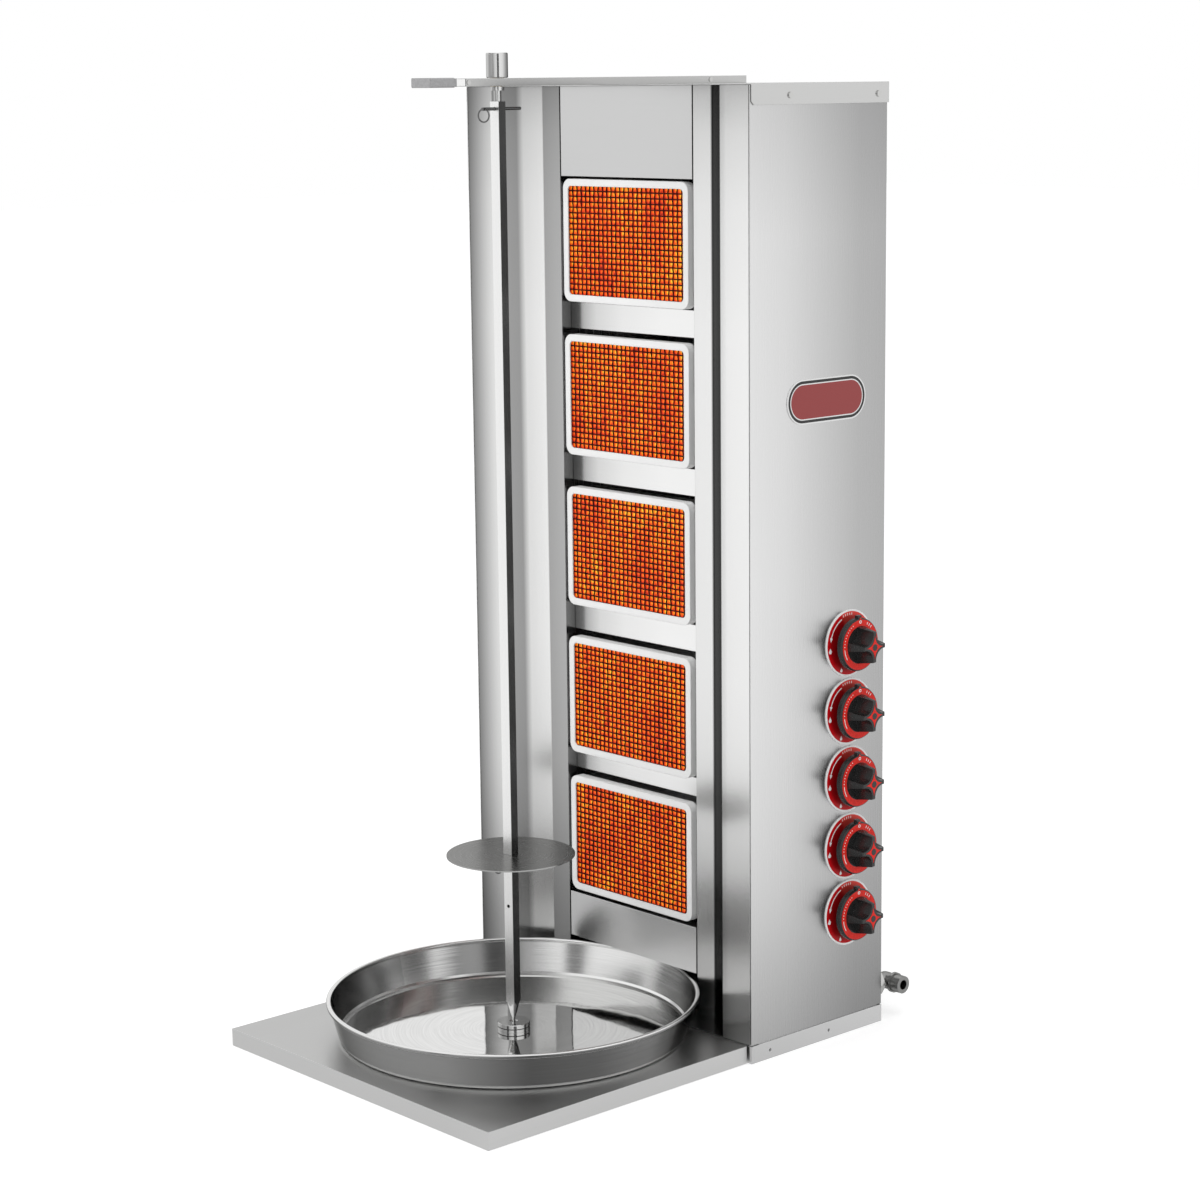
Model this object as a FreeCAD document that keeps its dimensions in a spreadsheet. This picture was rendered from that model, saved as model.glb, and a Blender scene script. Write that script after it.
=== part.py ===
# Doner kebab grill: a gas tower with five radiant burners, a tray, a sliding pan and a turning spit.
# Millimetres. X is right and Y is back as the burners are faced, and Z is up. The origin is on the
# floor at the middle of the tower's front face.
import FreeCAD, Part
import math
import os
import re
import Sketcher

Vector = FreeCAD.Vector
Rotation = FreeCAD.Rotation

sizes = {
    # sheet metal
    "sheet": 1.2,
    "lip": 12.0,
    "seam": 1.0,
    "clearance": 0.3,
    # tower
    "base_width": 475.0,
    "base_height": 20.5,
    "tower_depth": 219.0,
    "tower_height": 1100.0,
    "panel_inset": 0.8,
    "cover_flange": 23.0,
    "cover_corner": 4.0,
    # tray
    "tray_side": 14.9,
    "tray_margin": 18.4,
    "tray_gap": 2.5,
    # front: strips, angled walls and pillars
    "wall_run": 48.5,
    "pillar_width": 29.8,
    "burner_side": 7.0,
    "recess": 36.5,
    "pillar_return": 14.5,
    "panel_gap": 2.0,
    "ear": 10.0,
    # burners
    "burner_width": 210.0,
    "burner_height": 143.0,
    "burner_drop": 108.0,
    "burner_foot": 5.2,
    "last_burner_rise": 9.0,
    "burner_rim": 8.2,
    "burner_round": 11.0,
    "opening_round": 5.0,
    "burner_proud": 2.0,
    "frame_depth": 12.0,
    "frame_wall": 1.5,
    "screen_set": 1.2,
    "screen_thick": 1.0,
    "screen_bar": 1.6,
    "tile_thick": 8.0,
    "tile_margin": 2.5,
    "housing_depth": 34.0,
    "housing_inset": 4.0,
    "mixer_radius": 13.0,
    "mixer_reach": 112.0,
    "mixer_bend": 24.0,
    "mixer_wall": 1.5,
    "top_panel_gap": 3.0,
    "bottom_panel_clear": 4.9,
    "bottom_panel_height": 56.0,
    "strip_gap_high": 2.0,
    "strip_gap_low": 5.5,
    # arm
    "arm_width": 30.0,
    "arm_thick": 8.5,
    "arm_wall": 1.5,
    "arm_ahead": 57.0,
    "slider_fit": 0.25,
    "slider_step": 13.0,
    "slider_back": 60.0,
    "collar_length": 4.0,
    "handle_length": 34.0,
    "handle_thick": 10.5,
    "slide_travel": 40.0,
    "arm_screw_back": 160.0,
    # spit and pivot
    "pan_gap": 3.5,
    "spit_side": 12.0,
    "spit_turned": 11.0,
    "spit_drop": 16.5,
    "point_start": 54.0,
    "point_radius": 1.8,
    "point_sink": 2.5,
    "pin_hole": 2.0,
    "socket_depth": 24.0,
    "shaft_radius": 5.0,
    "shaft_fit": 0.05,
    "neck_radius": 4.2,
    "bush_radius": 8.0,
    "knob_radius": 12.0,
    "knob_height": 27.0,
    "knob_bore": 9.0,
    "knob_bore_depth": 16.0,
    "collar_radius": 7.5,
    "collar_height": 4.5,
    "pin_radius": 1.75,
    "pin_front": 27.0,
    "pin_back": 39.0,
    "pin_below_top": 8.0,
    "ring_radius": 7.0,
    "ring_wire": 0.8,
    "plate_height": 230.0,
    "plate_radius": 74.0,
    "plate_thick": 1.5,
    "plate_fit": 0.4,
    "lower_hole_drop": 60.0,
    # pan and bearing
    "pan_radius": 203.3,
    "pan_flare": 10.4,
    "pan_depth": 41.7,
    "pan_wall": 1.2,
    "pan_corner": 5.0,
    "rim_radius": 2.9,
    "bearing_radius": 19.0,
    "race_height": 3.5,
    "cup_height": 4.5,
    "ball_radius": 1.0,
    "ball_circle": 13.0,
    "ball_count": 18,
    # gas side
    "valve_pitch": 80.1,
    "valve_low": 146.7,
    "valve_behind": 50.5,
    "dial_radius": 39.0,
    "dial_thick": 1.0,
    "dial_hole": 8.0,
    "stem_radius": 4.0,
    "stem_flat": 1.2,
    "plug_radius": 6.0,
    "plug_length": 18.0,
    "stem_reach": 28.0,
    "valve_width": 24.0,
    "valve_height": 28.0,
    "valve_length": 30.0,
    "valve_inside": 4.0,
    "manifold_radius": 9.0,
    "manifold_inset": 15.5,
    "manifold_end": 24.0,
    "inlet_height": 42.0,
    "inlet_radius": 7.0,
    "inlet_thread": 10.48,
    "inlet_bore": 5.8,
    "nut_width": 26.0,
    "nut_height": 9.0,
    "elbow_reach": 27.0,
    "elbow_radius": 10.0,
    "pipe_radius": 3.0,
    "pipe_bend": 9.0,
    "injector_radius": 5.0,
    "injector_hex": 14.0,
    "injector_length": 20.0,
    # knobs
    "skirt_radius": 30.8,
    "skirt_rear": 9.5,
    "skirt_depth": 8.2,
    "skirt_round": 2.0,
    "skirt_band": 6.0,
    "knob_push": 4.0,
    "grip_height": 22.5,
    "grip_radius": 18.2,
    "grip_foot": 21.6,
    "grip_waist": 8.6,
    "scoop_distance": 22.0,
    "pointer": 3.0,
    # badge, holes and screws
    "badge_length": 127.5,
    "badge_height": 50.0,
    "badge_behind": 11.5,
    "badge_z": 750.5,
    "badge_thick": 1.0,
    "skirt_hole": 2.0,
    "skirt_hole_front": 30.0,
    "skirt_hole_back": 128.0,
    "skirt_hole_height": 10.0,
    "screw_radius": 1.8,
    "screw_head": 3.5,
    "screw_head_thick": 1.6,
    "screw_length": 8.0,
    "cover_screw_front": 61.0,
    "cover_screw_inset": 16.0,
    "vent_width": 40.0,
    "vent_height": 6.0,
    "vent_pitch": 22.0,
    "tray_bolt_side": 150.0,
}
burner_count = 5
screen_columns = 12
screen_rows = 9
vents_per_burner = 3

doc = FreeCAD.newDocument("DonerGrill")
sheet = doc.addObject("Spreadsheet::Sheet", "Sizes")
derived = {
    "pillar_inner": "burner_width / 2 + burner_side",
    "pillar_outer": "pillar_inner + pillar_width",
    "strip_edge": "pillar_outer + wall_run",
    "rim_reach": "pan_radius + pan_flare + rim_radius",
    "spit_distance": "sqrt((rim_reach + pan_gap) ^ 2 - pillar_inner ^ 2) - recess",
    "arm_front": "spit_distance + arm_ahead",
    "tray_width": "2 * (rim_reach + tray_side)",
    "tray_length": "spit_distance + rim_reach + tray_margin - tray_gap",
    "spit_top": "tower_height - spit_drop",
    "bottom_panel_low": "base_height + pan_depth + rim_radius + bottom_panel_clear",
    "bottom_panel_high": "bottom_panel_low + bottom_panel_height",
    "burner_top": "tower_height - burner_drop",
    "burner_pitch": "(burner_top - burner_height - bottom_panel_high - burner_foot + last_burner_rise) / (burner_count - 1)",
    "manifold_x": "base_width / 2 - manifold_inset",
    "valve_back": "tower_depth / 2 + valve_behind",
    "badge_y": "tower_depth / 2 + badge_behind",
    "cover_screw_back": "tower_depth - cover_screw_inset",
}
sizes["burner_count"] = burner_count
for row, (name, value) in enumerate(list(sizes.items()) + [(a, "=" + b) for a, b in derived.items()], start=1):
    sheet.set("A%d" % row, name)
    sheet.set("B%d" % row, str(value))
    sheet.setAlias("B%d" % row, name)
sizes.update(derived)
doc.recompute()
scratch = doc.addObject("Spreadsheet::Sheet", "Scratch")

parts = []


def size(name):
    return float(sheet.get(name))


# An expression is written with the plain size names, such as "base_width / 2 - sheet".
def linked(text):
    return re.sub(r"[a-z]+(?:_[a-z]+)*", lambda m: "Sizes." + m.group(0) if m.group(0) in sizes else m.group(0), str(text))


def bind(thing, **expressions):
    for prop, text in expressions.items():
        thing.setExpression(prop.replace("__", "."), linked(text))


def place(thing, x=0, y=0, z=0, turn=None):
    if turn is not None:
        thing.Placement = FreeCAD.Placement(Vector(), turn)
    bind(thing, Placement__Base__x=x, Placement__Base__y=y, Placement__Base__z=z)
    return thing


def box(x, y, z, length, width, height, name="Block"):
    solid = doc.addObject("Part::Box", name)
    bind(solid, Length=length, Width=width, Height=height)
    return place(solid, x, y, z)


along = {
    "x": Rotation(Vector(0, 0, 1), Vector(1, 0, 0)),
    "y": Rotation(Vector(0, 0, 1), Vector(0, 1, 0)),
    "-y": Rotation(Vector(0, 0, 1), Vector(0, -1, 0)),
    "z": Rotation(),
}


def rod(x, y, z, radius, length, axis="z", name="Rod"):
    solid = doc.addObject("Part::Cylinder", name)
    bind(solid, Radius=radius, Height=length)
    return place(solid, x, y, z, along[axis])


def hexagon(x, y, z, across, length, axis="z", name="Hex"):
    solid = doc.addObject("Part::Prism", name)
    solid.Polygon = 6
    bind(solid, Circumradius="(%s) / 1.7320508" % across, Height=length)
    return place(solid, x, y, z, along[axis])


def fuse(items, name="Joined"):
    if len(items) == 1:
        return items[0]
    joined = doc.addObject("Part::MultiFuse", name)
    joined.Shapes = items
    return joined


def cut(base, tools, name="Cut"):
    result = doc.addObject("Part::Cut", name)
    result.Base = base
    result.Tool = fuse(tools, "Tools") if isinstance(tools, list) else tools
    return result


def group(items, name):
    together = doc.addObject("Part::Compound", name)
    together.Links = items
    return together


def shaped(shape, name="Shaped"):
    solid = doc.addObject("Part::Feature", name)
    solid.Shape = shape
    return solid


def part(label, thing):
    thing.Label = label
    parts.append(thing)
    return thing


def plane(body, role):
    return [item for item in body.Origin.OriginFeatures if item.Role == role][0]


# A closed outline of straight lines on one of the body's own planes. Each corner is a pair of expressions.
def outline(body, role, corners):
    sketch = body.newObject("Sketcher::SketchObject", "Outline")
    sketch.AttachmentSupport = [(plane(body, role), "")]
    sketch.MapMode = "FlatFace"
    count = len(corners)
    places = [(value_of(a), value_of(b)) for a, b in corners]
    for i in range(count):
        start = places[i]
        end = places[(i + 1) % count]
        sketch.addGeometry(Part.LineSegment(Vector(start[0], start[1], 0), Vector(end[0], end[1], 0)), False)
    for i in range(count):
        sketch.addConstraint(Sketcher.Constraint("Coincident", i, 2, (i + 1) % count, 1))
    for i, (a, b) in enumerate(corners):
        for kind, text, number in (("DistanceX", a, places[i][0]), ("DistanceY", b, places[i][1])):
            index = sketch.addConstraint(Sketcher.Constraint(kind, -1, 1, i, 1, number))
            sketch.setExpression("Constraints[%d]" % index, linked(text))
    return sketch


# The number that an expression of size names has now.
def value_of(text):
    scratch.set("A1", "=" + linked(text))
    scratch.recompute()
    found = scratch.get("A1")
    return float(getattr(found, "Value", found))


def padded(corners, length, role="XY_Plane", x=0, y=0, z=0, name="Folded"):
    body = doc.addObject("PartDesign::Body", name)
    pad = body.newObject("PartDesign::Pad", "Pad")
    pad.Profile = outline(body, role, corners)
    pad.Profile[0].Visibility = False
    body.Tip = pad
    bind(pad, Length=length)
    pad.Reversed = role == "XZ_Plane"
    return place(body, x, y, z)


# A turned piece: the corners are (radius, height) pairs, turned about a vertical line.
def turned(corners, x=0, y=0, z=0, turn=None, name="Turned"):
    body = doc.addObject("PartDesign::Body", name)
    sketch = outline(body, "XZ_Plane", corners)
    revolution = body.newObject("PartDesign::Revolution", "Revolution")
    revolution.Profile = sketch
    revolution.ReferenceAxis = (sketch, ["V_Axis"])
    revolution.Angle = 360
    body.Tip = revolution
    return place(body, x, y, z, turn)


# Rounds the straight edges of a body that run along one axis, or only those that a test picks.
def rounded(body, radius, axis, pick=None):
    tip = body.Tip
    tip.recompute(True)
    names = []
    for i, edge in enumerate(tip.Shape.Edges, start=1):
        if not isinstance(edge.Curve, Part.Line):
            continue
        if abs(edge.tangentAt(edge.FirstParameter).dot(axis)) < 0.999:
            continue
        if pick is None or pick(edge.CenterOfMass):
            names.append("Edge%d" % i)
    fillet = body.newObject("PartDesign::Fillet", "Fillet")
    fillet.Base = (tip, names)
    bind(fillet, Radius=radius)
    body.Tip = fillet
    return body


def plate(width, height, thick, radius, x, y, z, name="Plate"):
    # An upright plate with round corners, centred on x and z, its front face at y.
    corners = [("-(%s) / 2" % width, "-(%s) / 2" % height), ("(%s) / 2" % width, "-(%s) / 2" % height),
               ("(%s) / 2" % width, "(%s) / 2" % height), ("-(%s) / 2" % width, "(%s) / 2" % height)]
    body = padded(corners, thick, "XZ_Plane", x, y, z, name)
    return rounded(body, radius, Vector(0, 1, 0))


# A round tube or bar along straight runs with an arc at each corner.
def run(points, radius, bend):
    edges = []
    start = points[0]
    for before, corner, after in zip(points, points[1:], points[2:]):
        towards = (before - corner).normalize()
        away = (after - corner).normalize()
        half = math.acos(max(-1.0, min(1.0, towards.dot(away)))) / 2
        back = bend / math.tan(half)
        first = corner + towards * back
        last = corner + away * back
        middle = (towards + away).normalize()
        centre = corner + middle * (bend / math.sin(half))
        edges.append(Part.LineSegment(start, first).toShape())
        edges.append(Part.Arc(first, centre - middle * bend, last).toShape())
        start = last
    edges.append(Part.LineSegment(start, points[-1]).toShape())
    path = Part.Wire(edges)
    direction = (points[1] - points[0]).normalize()
    profile = Part.Wire([Part.makeCircle(radius, points[0], direction)])
    return path.makePipeShell([profile], True, False)


# The places that several pieces share
half = "base_width / 2"
side_out = "(base_width / 2 - panel_inset)"
side_in = "(base_width / 2 - panel_inset - sheet)"
deck = "base_height"
roof = "(tower_height - sheet)"
ears_at = "(recess + pillar_return + clearance)"
burner_face = "(recess - burner_proud)"


def burner_middle(index):
    # The last burner sits a little closer to the one above it.
    text = "burner_top - burner_height / 2 - %d * burner_pitch" % index
    return "(" + text + (" + last_burner_rise)" if index == burner_count - 1 else ")")


def valve_height_of(index):
    return "(valve_low + %d * valve_pitch)" % (burner_count - 1 - index)


def folded_box(label, x, y, width, depth, height, holes):
    # An upside-down tray of sheet with lips turned in along the floor.
    outer = box(x, y, "0", width, depth, height)
    hollow = box("(%s) + sheet" % x, "(%s) + sheet" % y, "sheet", "(%s) - 2 * sheet" % width,
                 "(%s) - 2 * sheet" % depth, "(%s) - 2 * sheet" % height)
    mouth = box("(%s) + lip" % x, "(%s) + lip" % y, "-1", "(%s) - 2 * lip" % width,
                "(%s) - 2 * lip" % depth, "(%s) / 2" % height)
    return part(label, cut(outer, [hollow, mouth] + holes))


def tray_bolt_holes():
    return [rod("%s * tray_bolt_side" % side, "-tray_gap - lip", "base_height / 2", "screw_radius + 0.2", "2 * lip + tray_gap", "y")
            for side in (-1, 1)]


def make_base_and_tray():
    holes = [rod("-base_width", y, "skirt_hole_height", "skirt_hole", "2 * base_width", "x")
             for y in ("skirt_hole_front", "skirt_hole_back")]
    folded_box("tower_base", "-base_width / 2", "0", "base_width", "tower_depth", "base_height", holes + tray_bolt_holes())
    folded_box("tray_panel", "-tray_width / 2", "-tray_gap - tray_length", "tray_width", "tray_length", "base_height",
               tray_bolt_holes())
    bolts = []
    for side in (-1, 1):
        x = "%s * tray_bolt_side" % side
        bolts.append(fuse([
            rod(x, "-tray_gap - sheet - screw_head_thick", "base_height / 2", "screw_head", "screw_head_thick", "y"),
            rod(x, "-tray_gap - sheet - 0.5", "base_height / 2", "screw_radius", "tray_gap + 2 * sheet + screw_length / 2", "y"),
            rod(x, "-tray_gap + 0.05", "base_height / 2", "screw_head", "tray_gap - 0.1", "y"),
            hexagon(x, "sheet", "base_height / 2", "2 * screw_head", "screw_head_thick", "y")]))
    part("tray_bolts", group(bolts, "TrayBolts"))


def cover_screw_spots():
    return [(side, y) for side in (-1, 1) for y in ("cover_screw_front", "cover_screw_back")]


def cover_screw_height():
    return "(tower_height - cover_flange / 2 - 1.5)"


def cross_rods(radius, y, z):
    return rod("-base_width", y, z, radius, "2 * base_width", "x")


def make_side_panels():
    for side, label in ((1, "right_side_panel"), (-1, "left_side_panel")):
        s = "%d * " % side
        corners = [(s + side_out, "0"), (s + side_out, "tower_depth"), (s + side_in, "tower_depth"),
                   (s + side_in, "tower_depth - sheet - clearance"),
                   (s + "(base_width / 2 - panel_inset - lip)", "tower_depth - sheet - clearance"),
                   (s + "(base_width / 2 - panel_inset - lip)", "tower_depth - 2 * sheet - clearance"),
                   (s + side_in, "tower_depth - 2 * sheet - clearance"), (s + side_in, "0")]
        wall = padded(corners, "tower_height - sheet - clearance - base_height - seam", z="base_height + seam")
        inner = "base_width / 2 - panel_inset - lip"
        foot_x = inner if side == 1 else "-(%s) - (lip - sheet / 2)" % inner
        foot = box(foot_x, "lip + clearance", "base_height", "lip - sheet / 2", "tower_depth - 5 * sheet - lip", "sheet")
        tools = [cross_rods("screw_radius + 0.1", y, cover_screw_height()) for y in ("cover_screw_front", "cover_screw_back")]
        if side == 1:
            for i in range(burner_count):
                tools.append(rod("base_width / 4", "valve_back", valve_height_of(i), "stem_radius + 2", "base_width / 4", "x"))
            tools.append(inlet_hole())
        tools += back_screw_holes()
        part(label, cut(fuse([wall, foot]), tools))


def back_screw_spots():
    return [("%d * (base_width / 2 - panel_inset - lip / 2 - sheet / 2)" % side, z)
            for side in (-1, 1) for z in ("tower_height / 8", "tower_height / 2", "tower_height * 7 / 8")]


def back_screw_holes():
    return [rod(x, "tower_depth - 2 * lip", z, "screw_radius + 0.1", "3 * lip", "y") for x, z in back_screw_spots()]


def inlet_hole():
    return rod("manifold_x", "tower_depth - lip", "inlet_height", "inlet_radius + clearance", "2 * lip", "y")


def make_back_panel():
    width = "(base_width - 2 * (panel_inset + sheet + clearance))"
    panel = box("-%s / 2" % width, "tower_depth - sheet", "base_height + clearance", width, "sheet",
                "tower_height - sheet - base_height - 2 * clearance")
    vents = []
    for i in range(burner_count):
        for k in range(vents_per_burner):
            for side in (-2, -1, 0, 1):
                vents.append(box("%s * vent_width * 1.5 + vent_width / 4" % side, "tower_depth - lip",
                                 "%s + %d * vent_pitch - vent_height / 2" % (burner_middle(i), k - 1),
                                 "vent_width", "2 * lip", "vent_height"))
    part("back_panel", cut(panel, vents + [inlet_hole()] + back_screw_holes()))
    return [fuse([rod(x, "tower_depth", z, "screw_head", "screw_head_thick", "y"),
                  rod(x, "tower_depth - screw_length", z, "screw_radius", "screw_length + screw_head_thick / 2", "y")])
            for x, z in back_screw_spots()]


def make_cover():
    outer = "(base_width / 2 - panel_inset + clearance + sheet)"
    inner = "(base_width / 2 - panel_inset + clearance)"
    low = "tower_height - cover_flange"
    corners = [("-" + outer, low), ("-" + outer, "tower_height"), (outer, "tower_height"), (outer, low), (inner, low),
               (inner, roof), ("-" + inner, roof), ("-" + inner, low)]
    folded = padded(corners, "tower_depth + clearance + sheet - 1", "XZ_Plane", y="1")
    tip = folded.Tip
    tip.recompute(True)
    front = min(v.Point.y for v in tip.Shape.Vertexes)
    bottom = min(v.Point.z for v in tip.Shape.Vertexes)
    names = ["Edge%d" % i for i, e in enumerate(tip.Shape.Edges, start=1)
             if abs(e.CenterOfMass.y - front) < 0.01 and abs(e.CenterOfMass.z - bottom) < 0.01]
    chamfer = folded.newObject("PartDesign::Chamfer", "ClippedCorner")
    chamfer.Base = (tip, names)
    bind(chamfer, Size="cover_corner")
    folded.Tip = chamfer
    back = box("-" + inner, "tower_depth + clearance", low, "2 * " + inner, "sheet", "cover_flange - sheet / 2")
    holes = [cross_rods("screw_radius + 0.1", y, cover_screw_height()) for y in ("cover_screw_front", "cover_screw_back")]
    part("top_cover", cut(fuse([folded, back]), holes))
    screws = []
    for side, y in cover_screw_spots():
        head = outer if side == 1 else "-%s - screw_head_thick" % outer
        shank = "%s - screw_length" % outer if side == 1 else "-%s - screw_head_thick / 2" % outer
        screws.append(fuse([rod(head, y, cover_screw_height(), "screw_head", "screw_head_thick", "x"),
                            rod(shank, y, cover_screw_height(), "screw_radius", "screw_length + screw_head_thick / 2", "x")]))
    return screws


def make_wings():
    for side, label in ((1, "right_wing"), (-1, "left_wing")):
        s = "%d * " % side
        edge = "(base_width / 2 - panel_inset - sheet - seam)"
        corners = [(s + edge, "lip"), (s + edge, "0"), (s + "strip_edge", "0"), (s + "pillar_outer", "recess"),
                   (s + "pillar_inner", "recess"), (s + "pillar_inner", "recess + pillar_return"),
                   (s + "(pillar_inner + sheet)", "recess + pillar_return"), (s + "(pillar_inner + sheet)", "recess + sheet"),
                   (s + "pillar_outer", "recess + sheet"), (s + "strip_edge", "sheet"),
                   (s + "(%s - sheet)" % edge, "sheet"), (s + "(%s - sheet)" % edge, "lip")]
        part(label, padded(corners, "tower_height - sheet - base_height - 2 * clearance", z="base_height + clearance"))


def hat_panel(label, low, high):
    # A front panel between the pillars, with side walls going back to ears behind them.
    face = "(pillar_inner - panel_gap)"
    wing = "(pillar_inner + ear)"
    half_corners = [(face, "recess"), (face, ears_at), (wing, ears_at), (wing, "%s + sheet" % ears_at),
                    ("(%s - sheet)" % face, "%s + sheet" % ears_at), ("(%s - sheet)" % face, "recess + sheet")]
    corners = half_corners + [("-" + a, b) for a, b in reversed(half_corners)]
    shell = padded(corners, "%s - %s" % (high, low), z=low)
    shelves = [box("-%s + sheet / 2" % face, "recess + sheet / 2", z, "2 * %s - sheet" % face, "pillar_return", "sheet")
               for z in (low, "%s - sheet" % high)]
    part(label, fuse([shell] + shelves))


def make_front_panels():
    hat_panel("top_front_panel", "(burner_top + top_panel_gap)", "(tower_height - sheet - clearance)")
    hat_panel("bottom_front_panel", "bottom_panel_low", "bottom_panel_high")
    strips = []
    for i in range(burner_count - 1):
        high = "(%s - burner_height / 2 - strip_gap_high)" % burner_middle(i)
        low = "(%s + burner_height / 2 + strip_gap_low)" % burner_middle(i + 1)
        wide = "(pillar_inner + ear)"
        face = box("-" + wide, ears_at, low, "2 * " + wide, "sheet", "%s - %s" % (high, low))
        folds = [box("-pillar_inner", "%s + sheet / 2" % ears_at, z, "2 * pillar_inner", "lip / 2", "sheet")
                 for z in (low, "%s - sheet" % high)]
        strips.append(fuse([face] + folds))
    part("spacer_strips", group(strips, "SpacerStrips"))


def screen(index):
    # A grid cut in one step: bars between square holes.
    wide = size("burner_width") - 2 * size("frame_wall") - 2 * size("clearance")
    tall = size("burner_height") - 2 * size("frame_wall") - 2 * size("clearance")
    bar = size("screen_bar")
    window_wide = size("burner_width") - 2 * size("burner_rim")
    window_tall = size("burner_height") - 2 * size("burner_rim")
    front = size("recess") - size("burner_proud") + size("frame_wall") + size("screen_set")
    middle = value_of(burner_middle(index))
    # the corners are clipped to stay inside the frame's round corners
    clip = size("burner_round") - size("frame_wall")
    corners = [(-wide / 2 + clip, -tall / 2), (wide / 2 - clip, -tall / 2), (wide / 2, clip - tall / 2), (wide / 2, tall / 2 - clip),
               (wide / 2 - clip, tall / 2), (clip - wide / 2, tall / 2), (-wide / 2, tall / 2 - clip), (-wide / 2, clip - tall / 2)]
    outer = Part.makePolygon([Vector(x, front, middle + z) for x, z in corners + corners[:1]])
    step_x = window_wide / screen_columns
    step_z = window_tall / screen_rows
    holes = []
    for column in range(screen_columns):
        for level in range(screen_rows):
            left = -window_wide / 2 + column * step_x + bar / 2
            low = middle - window_tall / 2 + level * step_z + bar / 2
            holes.append(rectangle(left, left + step_x - bar, low, low + step_z - bar, front))
    face = Part.makeFace([outer] + holes, "Part::FaceMakerBullseye")
    return shaped(face.extrude(Vector(0, size("screen_thick"), 0)), "Screen")


def rectangle(left, right, low, high, y):
    return Part.makePolygon([Vector(left, y, low), Vector(right, y, low), Vector(right, y, high), Vector(left, y, high),
                             Vector(left, y, low)])


def make_burners():
    screens = []
    housings = []
    tubes = []
    injectors = []
    inner_wide = "burner_width - 2 * frame_wall"
    inner_tall = "burner_height - 2 * frame_wall"
    tile_face = "(%s + frame_wall + screen_set + screen_thick + clearance)" % burner_face
    housing_face = "(%s + tile_thick + clearance)" % tile_face
    housing_back = "(%s + housing_depth)" % housing_face
    tube_y = "(%s + clearance + mixer_radius + mixer_bend)" % housing_back
    for i in range(burner_count):
        z = burner_middle(i)
        outer = plate("burner_width", "burner_height", "frame_depth", "burner_round", "0", burner_face, z)
        hollow = plate(inner_wide, inner_tall, "frame_depth", "burner_round - frame_wall", "0",
                       "%s + frame_wall" % burner_face, z)
        window = plate("burner_width - 2 * burner_rim", "burner_height - 2 * burner_rim", "3 * frame_wall", "opening_round",
                       "0", "%s - frame_wall" % burner_face, z)
        part("burner_frame_%d" % (i + 1), cut(outer, [hollow, window]))
        tile = plate("burner_width - 2 * burner_rim + 2 * tile_margin", "burner_height - 2 * burner_rim + 2 * tile_margin",
                     "tile_thick", "opening_round", "0", tile_face, z)
        part("burner_tile_%d" % (i + 1), tile)
        screens.append(screen(i))
        wide = "(burner_width - 2 * housing_inset)"
        tall = "(burner_height - 2 * housing_inset)"
        case = box("-%s / 2" % wide, housing_face, "%s - %s / 2" % (z, tall), wide, "housing_depth", tall)
        ears = box("-pillar_inner - ear", ears_at, "%s - lip" % z, "2 * (pillar_inner + ear)", "sheet", "2 * lip")
        room = box("-%s / 2 + sheet" % wide, "%s - sheet" % housing_face, "%s - %s / 2 + sheet" % (z, tall),
                   "%s - 2 * sheet" % wide, "housing_depth", "%s - 2 * sheet" % tall)
        throat = rod("0", "%s - lip" % housing_back, z, "mixer_radius - mixer_wall", "2 * lip", "y")
        housings.append(cut(fuse([case, ears]), [room, throat]))
        tubes.append(mixer(z, value_of(housing_back), value_of(tube_y)))
        reach = "mixer_reach"
        injectors.append(cut(fuse([
            rod("%s - 2 * mixer_wall" % reach, tube_y, z, "injector_radius", "4 * mixer_wall", "x"),
            hexagon("%s + mixer_wall" % reach, tube_y, z, "injector_hex", "injector_length", "x")]),
            [rod("%s - lip" % reach, tube_y, z, "injector_radius / 5", "4 * lip", "x"),
             rod("%s + injector_length - 2 * pipe_radius" % reach, tube_y, z, "pipe_radius + 0.05", "lip", "x")]))
    part("burner_screens", group(screens, "BurnerScreens"))
    part("burner_housings", group(housings, "BurnerHousings"))
    part("mixer_tubes", group(tubes, "MixerTubes"))
    part("injectors", group(injectors, "Injectors"))
    return tube_y


def mixer(z_text, back, tube_y):
    # A bent tube from the housing's back to an open end with a disc that carries the jet.
    z = value_of(z_text)
    radius = size("mixer_radius")
    wall = size("mixer_wall")
    reach = size("mixer_reach")
    start = back + size("clearance")
    points = [Vector(reach, tube_y, z), Vector(0, tube_y, z), Vector(0, start, z)]
    # the bend is as large as the way back to the housing allows
    bend = size("mixer_bend")
    outer = run(points, radius, bend)
    inner = run(points, radius - wall, bend)
    disc = Part.makeCylinder(radius, wall, Vector(reach, tube_y, z), Vector(1, 0, 0))
    hole = Part.makeCylinder(size("injector_radius") + 0.05, 4 * wall, Vector(reach - wall, tube_y, z), Vector(1, 0, 0))
    air = [Part.makeCylinder(2.4, 4 * wall, Vector(reach - wall, tube_y + 8.6 * math.cos(a), z + 8.6 * math.sin(a)), Vector(1, 0, 0))
           for a in [math.radians(60 * k) for k in range(6)]]
    disc = disc.cut([hole] + air)
    return shaped(outer.cut(inner).fuse(disc).removeSplitter(), "Mixer")


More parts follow.
